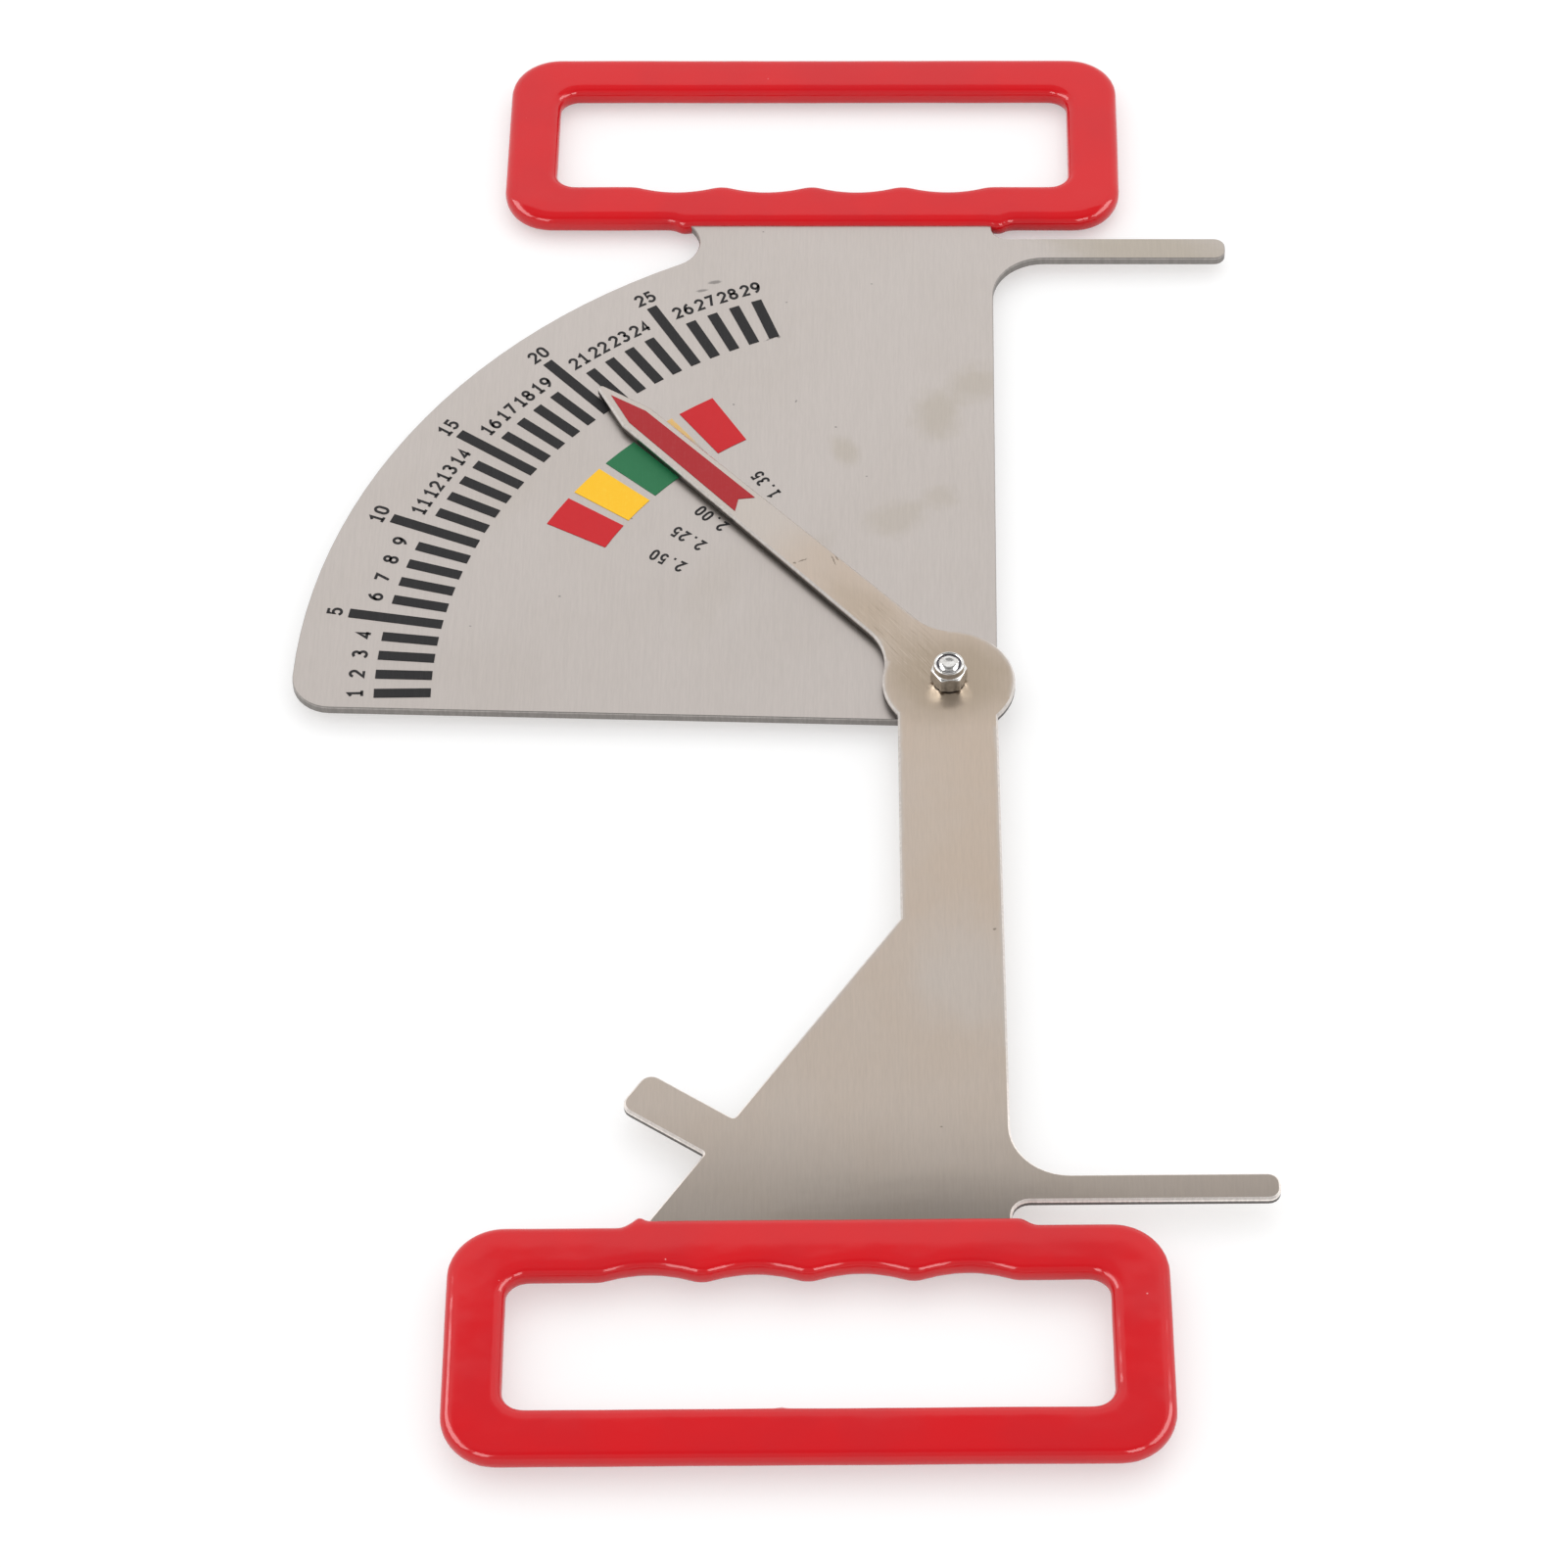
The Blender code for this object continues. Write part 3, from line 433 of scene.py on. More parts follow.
def scratched(tree, vector, colour):
    """Pale and deep scratches along the pointer at its root."""
    scratch = grain(tree, vector, SCRATCH_GRAIN, 3.0, 0.6, SCRATCH_ANGLE)
    place = spot(tree, vector, *SCRATCHED_SPOT)
    pale = times(tree, ramp(tree, scratch, 0.56, 0.68), place)
    deep = times(tree, ramp(tree, scratch, 0.30, 0.42, 1.0, 0.0), place)
    return stain(tree, stain(tree, colour, pale, 0.60, SCRATCH_PALE), deep, 0.50, SCRATCH_DEEP)


def arm_material():
    """Tan tarnished brushed steel, darker at the hub, with painted shade above the handle."""
    material, tree, shader, vector = new_material("arm_steel")
    vector = stretch(tree, vector, (1.0, 1.0, 1.0), -ARM_SWING)
    x, y, _ = parts_of(tree, vector)
    wobble = speckle(tree, vector, 160.0, 3.0, 0.6)
    depth = calc(tree, "MULTIPLY_ADD", wobble, TARNISH_WOBBLE, arm_depth(tree, x, y))
    inner = ramp(tree, depth, *TARNISH_EDGE)
    clean = blend(tree, tarnish(tree, vector, x, y, inner), ARM_GREY, ARM_TAN)
    colour = stain(tree, clean, spot(tree, vector, *HUB_SPOT), inner, HUB_TAN)
    colour = stain(tree, colour, spot(tree, vector, *ROOT_SPOT), 0.40, ROOT_TAN)
    colour = stain(tree, colour, spot(tree, vector, *GREY_SPOT), 0.6, ARM_GREY)
    colour = scratched(tree, vector, colour)
    colour = stain(tree, colour, marks(tree, vector, ARM_MARKS), MARK_STRENGTH, MARK_BROWN)
    # Painted shade: darker towards the foot and under the broad patch there, kept to the top face by the
    # blend below
    shade_patch = calc(tree, "MULTIPLY_ADD", spot(tree, vector, *SHADE_PATCH), -SHADE_PATCH_SHARE, 1.0)
    low = times(tree, ramp(tree, y, *FOOT_SHADE, FOOT_TARNISH_AND_SHADE, 1.0), shade_patch)
    colour = blend(tree, 1.0, colour, grey_of(tree, low), "MULTIPLY")
    colour = blend(tree, upper_face(tree), clean, colour)
    # Painted highlight on the polished strip, brightest at the foot
    polished_glint = ramp(tree, y, *FOOT_GLINT_SPAN, ARM_POLISHED_GLINT_LOW, ARM_POLISHED_GLINT)
    edge = cut_edge(tree, vector, ARM_TOP, ARM_BURNISH, ARM_TORN_SHADE, polished_glint)
    brushed(tree, shader, vector, colour, ARM_CONTRAST, edge)
    return material


# The other materials

COAT_RED = (0.672, 0.005, 0.010)
COAT_DEEP = (0.618, 0.006, 0.012)
COAT_SPECK = (0.90, 0.45, 0.45)
COAT_IOR = 1.46
COAT_ROUGHNESS = (0.07, 0.12)
COAT_CLOUDS = 45.0
COAT_RIPPLES = 150.0

# Pale specks: cells to a metre, a speck's size in its cell, and the noise above which a cell has one
SPECK_CELLS = 130.0
SPECK_SIZE = (0.018, 0.034)
SPECK_SHARE = (0.54, 0.56)

ZINC = (0.80, 0.79, 0.77)
ZINC_DULL = (0.60, 0.58, 0.55)
ZINC_ROUGHNESS = (0.08, 0.20)
NYLON = (0.05, 0.045, 0.055)
NYLON_PALE = (0.10, 0.09, 0.12)
NYLON_ROUGHNESS = (0.35, 0.55)
INK_GRAIN = (3500.0, 120.0, 900.0)
INK_SPECULAR = 0.40
BARE_STEEL = (0.50, 0.47, 0.43)
RUB_RAGGED = 4.0 * MM
RUB_SOFTNESS = 3.0 * MM

# Inks: colour, what shows where it is thin, how much, roughness, and a radius inside which it is rubbed off
INKS = {
    "ink_black": ((0.013, 0.012, 0.013), (0.030, 0.028, 0.030), 0.8, 0.55, None),
    "ink_red": ((0.585, 0.004, 0.010), (0.56, 0.012, 0.020), 0.6, 0.45, None),
    "ink_red_dull": ((0.40, 0.008, 0.013), (0.42, 0.030, 0.036), 0.9, 0.45, None),
    "ink_yellow": ((0.95, 0.53, 0.008), (0.96, 0.62, 0.05), 0.6, 0.45, None),
    "ink_yellow_faint": ((0.80, 0.50, 0.16), (0.62, 0.52, 0.40), 1.0, 0.50, 108.0 * MM),
    "ink_green": ((0.012, 0.165, 0.060), (0.030, 0.20, 0.085), 0.6, 0.45, None),
}


def coat_material():
    """Glossy dipped vinyl: cloudy red with a few pale raised specks and slow ripples."""
    material, tree, shader, vector = new_material("dip_coat")
    clouds = speckle(tree, vector, COAT_CLOUDS, 3.0, 0.5)
    colour = blend(tree, ramp(tree, clouds, 0.3, 0.7), COAT_RED, COAT_DEEP)
    cells = add(tree, "ShaderNodeTexVoronoi", {"Vector": vector, "Scale": SPECK_CELLS}, feature="F1")
    specks = ramp(tree, cells.outputs["Distance"], *SPECK_SIZE, 1.0, 0.0)
    few = ramp(tree, speckle(tree, cells.outputs["Position"], 900.0, 0.0), *SPECK_SHARE)
    pale_specks = times(tree, specks, few)
    put(tree, shader.inputs["Base Color"], stain(tree, colour, pale_specks, 0.7, COAT_SPECK))
    shader.inputs["IOR"].default_value = COAT_IOR
    put(tree, shader.inputs["Roughness"], ramp(tree, clouds, 0.2, 0.8, *COAT_ROUGHNESS))
    ripple = bump(tree, shader, 0.20, 0.3 * MM, speckle(tree, vector, COAT_RIPPLES, 2.0, 0.4))
    bump(tree, shader, 0.6, 0.1 * MM, pale_specks, Normal=ripple)
    return material


def ink_material(name, colour, bare, worn, roughness, rubbed):
    """Printed ink: bare shows where it is thin, and worn is how much. Inside the radius rubbed it is gone."""
    material, tree, shader, vector = new_material(name)
    mottle = speckle(tree, vector, 900.0, 4.0, 0.7)
    streaks = grain(tree, vector, INK_GRAIN)
    film = calc(tree, "MULTIPLY_ADD", mottle, 0.6, times(tree, streaks, 0.4))
    mixed = stain(tree, colour, ramp(tree, film, 0.45, 0.75), worn, bare)
    if rubbed:
        radius = length_of(tree, stretch(tree, vector, (1.0, 1.0, 0.0)))
        ragged = calc(tree, "MULTIPLY_ADD", mottle, RUB_RAGGED, radius)
        gone = ramp(tree, ragged, rubbed - RUB_SOFTNESS, rubbed + RUB_SOFTNESS, 1.0, 0.0)
        mixed = blend(tree, gone, mixed, BARE_STEEL)
    put(tree, shader.inputs["Base Color"], mixed)
    put(tree, shader.inputs["Roughness"], ramp(tree, mottle, 0.3, 0.7, roughness - 0.05, roughness + 0.1))
    shader.inputs["Specular IOR Level"].default_value = INK_SPECULAR
    bump(tree, shader, 0.1, 0.03 * MM, mottle)
    return material


def zinc_material():
    """Bright zinc plate, a little uneven."""
    material, tree, shader, vector = new_material("bright_zinc")
    mottle = speckle(tree, vector, 900.0, 4.0, 0.6)
    put(tree, shader.inputs["Base Color"], blend(tree, ramp(tree, mottle, 0.35, 0.75), ZINC, ZINC_DULL))
    shader.inputs["Metallic"].default_value = 1.0
    put(tree, shader.inputs["Roughness"], ramp(tree, mottle, 0.3, 0.7, *ZINC_ROUGHNESS))
    bump(tree, shader, 0.35, 0.15 * MM, mottle)
    return material


def nylon_material():
    """The dull dark plastic of the nut's ring."""
    material, tree, shader, vector = new_material("ring_plastic")
    mottle = speckle(tree, vector, 1500.0, 3.0, 0.6)
    put(tree, shader.inputs["Base Color"], blend(tree, mottle, NYLON, NYLON_PALE))
    put(tree, shader.inputs["Roughness"], ramp(tree, mottle, 0.3, 0.7, *NYLON_ROUGHNESS))
    return material


MATERIALS = {
    "plate_steel": plate_material(),
    "arm_steel": arm_material(),
    "dip_coat": coat_material(),
    "bright_zinc": zinc_material(),
    "ring_plastic": nylon_material(),
}
for ink, settings in INKS.items():
    MATERIALS[ink] = ink_material(ink, *settings)

# Printed pieces that look more worn than their slot's ink
WORN_INK = {"zone_4_yellow": "ink_yellow_faint", "pointer_arrow": "ink_red_dull"}


def dress(obj, material_name):
    obj.data.materials.clear()
    obj.data.materials.append(MATERIALS[material_name])


def dress_frame():
    """Gives the CAD nodes that stay shown their finished materials."""
    for entry in frame["record"]["subparts"]:
        name, slot_name = entry["node"], entry["material_slot"]
        dress(frame["nodes"][name], WORN_INK.get(name, slot_name))


# Shapes

RIM_STEPS = 6


def arc(centre, radius, start, end, step=4.0):
    """Points on a circle from one angle to another, both ends included."""
    steps = max(1, math.ceil(abs(end - start) / step))
    points = []
    for index in range(steps + 1):
        angle = math.radians(start + (end - start) * index / steps)
        points.append((centre[0] + radius * math.cos(angle), centre[1] + radius * math.sin(angle)))
    return points


def corner_arcs(left, right, near, far, radius):
    """A rounded rectangle, from its near right corner round to its near left one."""
    points = arc((right - radius, near + radius), radius, 270, 360)
    points += arc((right - radius, far - radius), radius, 0, 90)
    points += arc((left + radius, far - radius), radius, 90, 180)
    points += arc((left + radius, near + radius), radius, 180, 270)
    return points


def smooth_share(share):
    """A smooth step from 0 to 1."""
    share = min(1.0, max(0.0, share))
    return share * share * (3 - 2 * share)


def mesh_object(name, vertices, faces):
    mesh = bpy.data.meshes.new(name)
    mesh.from_pydata([tuple(v) for v in vertices], [], faces)
    mesh.update()
    obj = bpy.data.objects.new(name, mesh)
    bpy.context.scene.collection.objects.link(obj)
    return obj


def evaluated_copy(obj, name):
    """A mesh object of what obj looks like with its modifiers, in place of obj."""
    bpy.context.view_layer.update()
    mesh = bpy.data.meshes.new_from_object(obj.evaluated_get(bpy.context.evaluated_depsgraph_get()))
    mesh.transform(obj.matrix_world)
    bpy.data.objects.remove(obj, do_unlink=True)
    made = bpy.data.objects.new(name, mesh)
    bpy.context.scene.collection.objects.link(made)
    return made


def slab(name, outlines, thickness, edge):
    """A flat body about z = 0 with round rims, cut from outlines."""
    curve = bpy.data.curves.new(name, "CURVE")
    curve.dimensions = "2D"
    curve.fill_mode = "BOTH"
    curve.extrude = thickness / 2 - edge
    curve.bevel_depth = edge
    curve.bevel_resolution = RIM_STEPS
    curve.offset = -edge
    for outline in outlines:
        spline = curve.splines.new("POLY")
        spline.points.add(len(outline) - 1)
        spline.use_cyclic_u = True
        for point, (x, y) in zip(spline.points, outline):
            point.co = (x, y, 0, 1)
    obj = bpy.data.objects.new(name, curve)
    bpy.context.scene.collection.objects.link(obj)
    return evaluated_copy(obj, name)


# The handles' coating, with the same outline as the frame's

GRIP_WIDTH = 165.0 * MM
GRIP_HEIGHT = 63.0 * MM
GRIP_BAND = 13.8 * MM
GRIP_CORNER = 13.0 * MM
OPENING_CORNER = 5.0 * MM
GRIP_EDGE = 2.6 * MM
HOLLOWS = 4
HOLLOW_PITCH = 24.2 * MM
HOLLOW_DEPTH = 2.0 * MM
HOLLOW_CREST = 8.0 * MM
LIP_FOOT = 1.9 * MM
LIP_STEPS = 8
GRIP_VOXEL = 0.75 * MM
GRIP_SMOOTHING = 6

# How much thinner the coating is at its outer rim, and how far in that reaches
CROWN = 0.05
CROWN_REACH = 7.0 * MM

# Slow waves in the surface: height and how many to a metre
WAVES = ((0.07 * MM, 60.0), (0.015 * MM, 180.0))


class Handle(NamedTuple):
    """One dipped handle: side is +1 or -1 along Y, neck is where the sheet enters it, in mm."""

    node: str
    body: str
    side: int
    near: float
    centre: float
    neck: tuple
    lip: float
    swing: float


HANDLES = (
    Handle("upper_grip", "scale_side", 1, 162.4 * MM, -36.2 * MM, (-70.4, 13.6), 1.0 * MM, 0.0),
    Handle("lower_grip", "pointer_side", -1, 163.6 * MM, -35.0 * MM, (-74.5, 13.6), 1.9 * MM, ARM_SWING),
)

# Drips and lumps of the coating in mm: handle, place, how far they reach, how high they stand
LUMPS = (
    ("upper_grip", (-70.0, 161.8, -0.6), 2.0, 0.5),
    ("upper_grip", (14.0, 161.6, 0.0), 2.2, 0.6),
    ("lower_grip", (-73.6, -161.7, 1.2), 1.2, 0.8),
    ("lower_grip", (-41.0, -212.6, 0.0), 1.3, 0.8),
    ("upper_grip", (-112.0, 168.5, 1.0), 5.0, 0.25),
    ("upper_grip", (39.0, 168.0, 1.0), 5.0, 0.25),
)


def hollow_edge(centre, near):
    """The opening's near edge with its finger hollows, from left to right."""
    reach = ((HOLLOW_PITCH / 2) ** 2 + HOLLOW_DEPTH**2) / (2 * HOLLOW_DEPTH)
    slope = math.degrees(math.asin(HOLLOW_PITCH / 2 / reach))
    hollow = reach - HOLLOW_CREST
    start = centre - HOLLOWS / 2 * HOLLOW_PITCH
    points = arc((start, near - HOLLOW_CREST), HOLLOW_CREST, 90, 90 - slope)
    for index in range(HOLLOWS):
        middle = start + (index + 0.5) * HOLLOW_PITCH
        end = 90 if index == HOLLOWS - 1 else 90 - slope
        points += arc((middle, near - HOLLOW_DEPTH + hollow), hollow, 270 - slope, 270 + slope)[1:]
        points += arc((middle + HOLLOW_PITCH / 2, near - HOLLOW_CREST), HOLLOW_CREST, 90 + slope, end)[1:]
    return points


def soft_step(points, start, end, low, high):
    """Adds a smooth climb between two heights to a list of points."""
    for index in range(LIP_STEPS + 1):
        share = index / LIP_STEPS
        points.append((start + (end - start) * share, low + (high - low) * smooth_share(share)))


def handle_outlines(handle):
    """The outer outline with the coating's lip at the neck, and the opening's."""
    left = handle.centre - GRIP_WIDTH / 2
    right = handle.centre + GRIP_WIDTH / 2
    far = handle.near + GRIP_HEIGHT
    outer = corner_arcs(left, right, handle.near, far, GRIP_CORNER)
    neck_left, neck_right = (value * MM for value in handle.neck)
    lip = handle.near - handle.lip
    soft_step(outer, neck_left - 2 * LIP_FOOT, neck_left, handle.near, lip)
    soft_step(outer, neck_right, neck_right + 2 * LIP_FOOT, lip, handle.near)
    inner_box = (left + GRIP_BAND, right - GRIP_BAND, handle.near + GRIP_BAND, far - GRIP_BAND)
    inner = corner_arcs(*inner_box, OPENING_CORNER)
    inner += hollow_edge(handle.centre, handle.near + GRIP_BAND)
    return [[(x, y * handle.side) for x, y in outline] for outline in (outer, inner)]


def rim_distance(handle, x, y):
    """How far inside the handle's outer outline a point lies."""
    across = abs(x - handle.centre) - (GRIP_WIDTH / 2 - GRIP_CORNER)
    up = abs(y * handle.side - handle.near - GRIP_HEIGHT / 2) - (GRIP_HEIGHT / 2 - GRIP_CORNER)
    beyond = math.hypot(max(across, 0.0), max(up, 0.0))
    return GRIP_CORNER - beyond - min(max(across, up), 0.0)


def even_grip(handle, thickness):
    """The handle's slab in an even, softened mesh, turned as its arm is."""
    rough = slab(handle.node + "_rough", handle_outlines(handle), thickness, GRIP_EDGE)
    rough.matrix_world = Matrix.Rotation(math.radians(handle.swing), 4, "Z")
    remesh = rough.modifiers.new("Even", "REMESH")
    remesh.mode = "VOXEL"
    remesh.voxel_size = GRIP_VOXEL
    remesh.use_smooth_shade = True
    smooth = rough.modifiers.new("Soften", "SMOOTH")
    smooth.factor = 0.5
    smooth.iterations = GRIP_SMOOTHING
    return evaluated_copy(rough, handle.node + "_coat")


def crown_grip(handle, mesh):
    """Makes the coating thinner towards its outer rim."""
    back = Matrix.Rotation(math.radians(handle.swing), 3, "Z").inverted()
    for vertex in mesh.vertices:
        flat = back @ vertex.co
        inside = smooth_share(rim_distance(handle, flat.x, flat.y) / CROWN_REACH)
        vertex.co.z *= 1.0 - CROWN * (1.0 - inside)
    mesh.update()


def wave_grip(handle, mesh, middle):
    """Pushes the surface out and in by slow waves and drips, and lifts it to its level."""
    turn = Matrix.Rotation(math.radians(handle.swing), 3, "Z")
    lumps = [(turn @ Vector(place) * MM, reach * MM, height * MM)
             for node, place, reach, height in LUMPS if node == handle.node]
    normals = [vertex.normal.copy() for vertex in mesh.vertices]
    for vertex, normal in zip(mesh.vertices, normals):
        here = vertex.co.copy()
        push = sum(height * noise.noise(here * count) for height, count in WAVES)
        for place, reach, height in lumps:
            away = (here - place).length
            if away < 3 * reach:
                push += height * math.exp(-((away / reach) ** 2))
        vertex.co = here + normal * push
        vertex.co.z += middle


def build_grip(handle):
    """The dipped coating: the handle's outline with round rims, its drips, and slow waves in the surface."""
    low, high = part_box(handle.node)
    grip = even_grip(handle, high[2] - low[2])
    crown_grip(handle, grip.data)
    wave_grip(handle, grip.data, (low[2] + high[2]) / 2)
    grip.data.shade_smooth()
    dress(grip, "dip_coat")
    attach(grip, handle.body)
    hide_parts(handle.node)


# Printed figures, drawn with strokes in a box of width 1 and height 1

TICK_FIRST = 180.87
TICK_PITCH = 2.508
TICKS = 29
LONG_EVERY = 5
NUMERAL_HEIGHT = 4.1 * MM
NUMERAL_WIDTH = 2.5 * MM
NUMERAL_STROKE = 0.72 * MM
NUMERAL_PITCH = 2.95 * MM
NUMERAL_RADIUS = 145.5 * MM
LONG_NUMERAL_RADIUS = 154.3 * MM
LABELS = (("2.50", 149.4), ("2.25", 143.1), ("2.00", 136.9), ("1.75", 130.7), ("1.35", 124.4))
LABEL_RADIUS = 77.5 * MM
LABEL_PITCH = 2.56 * MM
LABEL_HEIGHT = 3.7 * MM
LABEL_WIDTH = 1.95 * MM
LABEL_STROKE = 0.62 * MM

# Ink's thickness, and its gap over the plate as a share of that
INK_LIFT = 0.05 * MM
INK_GAP = 0.2

# A stroke's ends closer than this are joined, and its corners are mitred no longer than this allows
JOINED = 1e-7
MITRE_LIMIT = 0.5


def oval(centre_x, centre_y, radius_x, radius_y, start, end, steps=14):
    points = []
    for index in range(steps + 1):
        angle = math.radians(start + (end - start) * index / steps)
        points.append((centre_x + radius_x * math.cos(angle), centre_y + radius_y * math.sin(angle)))
    return points


SIX = [oval(0.5, 0.30, 0.5, 0.30, 0, 360), oval(1.02, 0.30, 1.02, 0.70, 103, 180, 8)]
GLYPHS = {
    "0": [oval(0.5, 0.68, 0.5, 0.32, 0, 180) + oval(0.5, 0.32, 0.5, 0.32, 180, 360) + [(1.0, 0.68)]],
    "1": [[(0.08, 0.80), (0.55, 1.0), (0.55, 0.0)], [(0.05, 0.0), (1.0, 0.0)]],
    "2": [oval(0.5, 0.71, 0.5, 0.29, 168, -28) + [(0.0, 0.0), (1.0, 0.0)]],
    "3": [oval(0.46, 0.765, 0.45, 0.235, 150, -90), oval(0.46, 0.27, 0.54, 0.27, 90, -152)],
    "4": [[(0.74, 0.0), (0.74, 1.0), (0.0, 0.27), (1.02, 0.27)]],
    "5": [[(0.92, 1.0), (0.14, 1.0), (0.09, 0.54)] + oval(0.45, 0.315, 0.55, 0.315, 128, -152)],
    "6": SIX,
    "7": [[(0.0, 1.0), (1.0, 1.0), (0.36, 0.0)]],
    "8": [oval(0.5, 0.765, 0.43, 0.235, 0, 360), oval(0.5, 0.27, 0.5, 0.27, 0, 360)],
    "9": [[(1 - x, 1 - y) for x, y in stroke] for stroke in SIX],
    ".": [[(0.18, 0.02), (0.62, 0.02)]],
}


def ribbon(path, half, base, vertices, faces):
    """Adds a flat stroke with mitred corners along a path of points, from just above the plate up."""
    closed = (path[0] - path[-1]).length < JOINED
    points = path[:-1] if closed else path
    count = len(points)
    for index, point in enumerate(points):
        before = points[index - 1] if closed or index else points[0] * 2 - points[1]
        after = points[(index + 1) % count] if closed or index < count - 1 else point * 2 - before
        first, second = (point - before).normalized(), (after - point).normalized()
        across = Vector((-first.y - second.y, first.x + second.x)).normalized()
        reach = half / max(MITRE_LIMIT, across.dot(Vector((-first.y, first.x))))
        for side, lift in ((1, 1), (-1, 1), (-1, 0), (1, 0)):
            place = point + across * reach * side
            vertices.append((place.x, place.y, PLATE_TOP + INK_LIFT * (INK_GAP + lift)))
    for index in range(count if closed else count - 1):
        here, there = base + 4 * index, base + 4 * ((index + 1) % count)
        for corner in range(4):
            following = (corner + 1) % 4
            faces.append((here + corner, there + corner, there + following, here + following))
    if not closed:
        last = base + 4 * (count - 1)
        faces.append((base, base + 1, base + 2, base + 3))
        faces.append((last + 3, last + 2, last + 1, last))


def numerals(name, words, width, height, stroke, pitch):
    """Flat printed figures as one piece.

    words holds for each its text, foot, the angle of its top, and where it starts to the side of its foot.
    """
    vertices, faces = [], []
    for text, foot, upright, start in words:
        up = Vector((math.cos(math.radians(upright)), math.sin(math.radians(upright))))
        right = Vector((up.y, -up.x))
        for index, letter in enumerate(text):
            for path in GLYPHS[letter]:
                places = [
                    foot + right * (start + index * pitch + x * (width - stroke))
                    + up * (stroke / 2 + y * (height - stroke))
                    for x, y in path
                ]
                ribbon(places, stroke / 2, len(vertices), vertices, faces)
    flat = mesh_object(name, vertices, faces)
    dress(flat, "ink_black")
    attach(flat, "scale_side")


def polar(radius, degrees):
    return Vector((radius * math.cos(math.radians(degrees)), radius * math.sin(math.radians(degrees))))


def build_scale_numerals():
    """1 to 29 outside the divisions, each fifth one further out."""
    words = []
    for number in range(1, TICKS + 1):
        angle = TICK_FIRST - TICK_PITCH * (number - 1)
        radius = LONG_NUMERAL_RADIUS if number % LONG_EVERY == 0 else NUMERAL_RADIUS
        text = str(number)
        span = (len(text) - 1) * NUMERAL_PITCH + NUMERAL_WIDTH - NUMERAL_STROKE
        words.append((text, polar(radius, angle), angle, -span / 2))
    numerals("scale_numerals", words, NUMERAL_WIDTH, NUMERAL_HEIGHT, NUMERAL_STROKE, NUMERAL_PITCH)


def build_zone_numbers():
    """The plain numbers inside the colour zones, upright along the circle."""
    words = []
    for text, angle in LABELS:
        foot = polar(LABEL_RADIUS, angle) - polar(LABEL_HEIGHT / 2, angle + 90)
        words.append((text, foot, angle + 90, (LABEL_PITCH - LABEL_WIDTH + LABEL_STROKE) / 2))
    numerals("zone_numbers", words, LABEL_WIDTH, LABEL_HEIGHT, LABEL_STROKE, LABEL_PITCH)


# The nut and the bolt. A profile's rows are radius and height in mm, and whether the flats cut it

FLATS = 8.0
CORNER = FLATS / math.sqrt(3)
NUT_TURN = 5.0
TURNED_SEGMENTS = 96
SHARP_ANGLE = 32.0
MERGED = 0.001 * MM

NUT_HEXAGON = ((2.8, 0.0, False), (3.75, 0.0, False), (4.05, 0.06, True),
               (CORNER, 0.32, True), (CORNER, 3.75, True))
NUT_SHOULDER = (3.90, 3.75, 0.62)
COLLAR_FOOT = ((3.82, 4.48, False), (3.80, 4.7, False))
COLLAR_ROLL = (3.40, 6.10, 0.38)
NUT_BORE = ((3.02, 5.97, False), (3.28, 5.96, False), (3.28, 4.40, False),
            (2.8, 4.38, False), (2.8, 0.0, False))

HEAD_HEIGHT = 3.5 * MM
HEAD_FACE = 3.75
HEAD_CHAMFER = 0.5
HEAD_FOOT = ((0.0, 0.0, False), (2.2, 0.0, False), (HEAD_FACE, 0.0, False))
HEAD_TOP = ((CORNER, -0.12, True), (CORNER - 0.1, 0.0, True), (2.5, 0.0, False))
THREAD_PITCH = 0.8 * MM
THREAD_START = 0.4 * MM
THREAD_END = 1.1 * MM
THREAD = ((2.5, 0.0, False), (2.5, 0.1, False), (2.1, 0.4, False))
BOLT_END = ((2.48, -0.62, False), (2.48, -0.5, False), (2.05, -0.08, False), (1.9, -0.02, False),
            (1.2, 0.0, False), (0.9, -0.10, False), (0.0, -0.12, False))


def rows(profile, foot):
    """A profile moved to its foot, in metres."""
    return [(radius * MM, foot + height * MM, cut) for radius, height, cut in profile]


def hexagon_reach(radius, angle):
    """The radius at an angle, where the flats cut it."""
    side = (angle + math.pi / 6) % (math.pi / 3) - math.pi / 6
    return min(radius, FLATS * MM / 2 / math.cos(side))


def turned(name, rings, turn):
    """A body turned about the pivot's axis from rings: radius, z, and whether the flats cut it."""
    vertices = []
    faces = []
    for radius, z, cut in rings:
        for index in range(TURNED_SEGMENTS):
            angle = 2 * math.pi * index / TURNED_SEGMENTS
            reach = hexagon_reach(radius, angle) if cut else radius
            spin = angle + math.radians(turn - 90)
            vertices.append((reach * math.cos(spin), reach * math.sin(spin), z))
    for level in range(len(rings) - 1):
        for index in range(TURNED_SEGMENTS):
            following = (index + 1) % TURNED_SEGMENTS
            low, high = level * TURNED_SEGMENTS, (level + 1) * TURNED_SEGMENTS
            faces.append((low + index, low + following, high + following, high + index))
    obj = mesh_object(name, vertices, faces)
    body = bmesh.new()
    body.from_mesh(obj.data)
    bmesh.ops.remove_doubles(body, verts=body.verts, dist=MERGED)
    bmesh.ops.recalc_face_normals(body, faces=body.faces)
    body.to_mesh(obj.data)
    body.free()
    obj.data.shade_smooth()
    obj.data.set_sharp_from_angle(angle=math.radians(SHARP_ANGLE))
    return obj


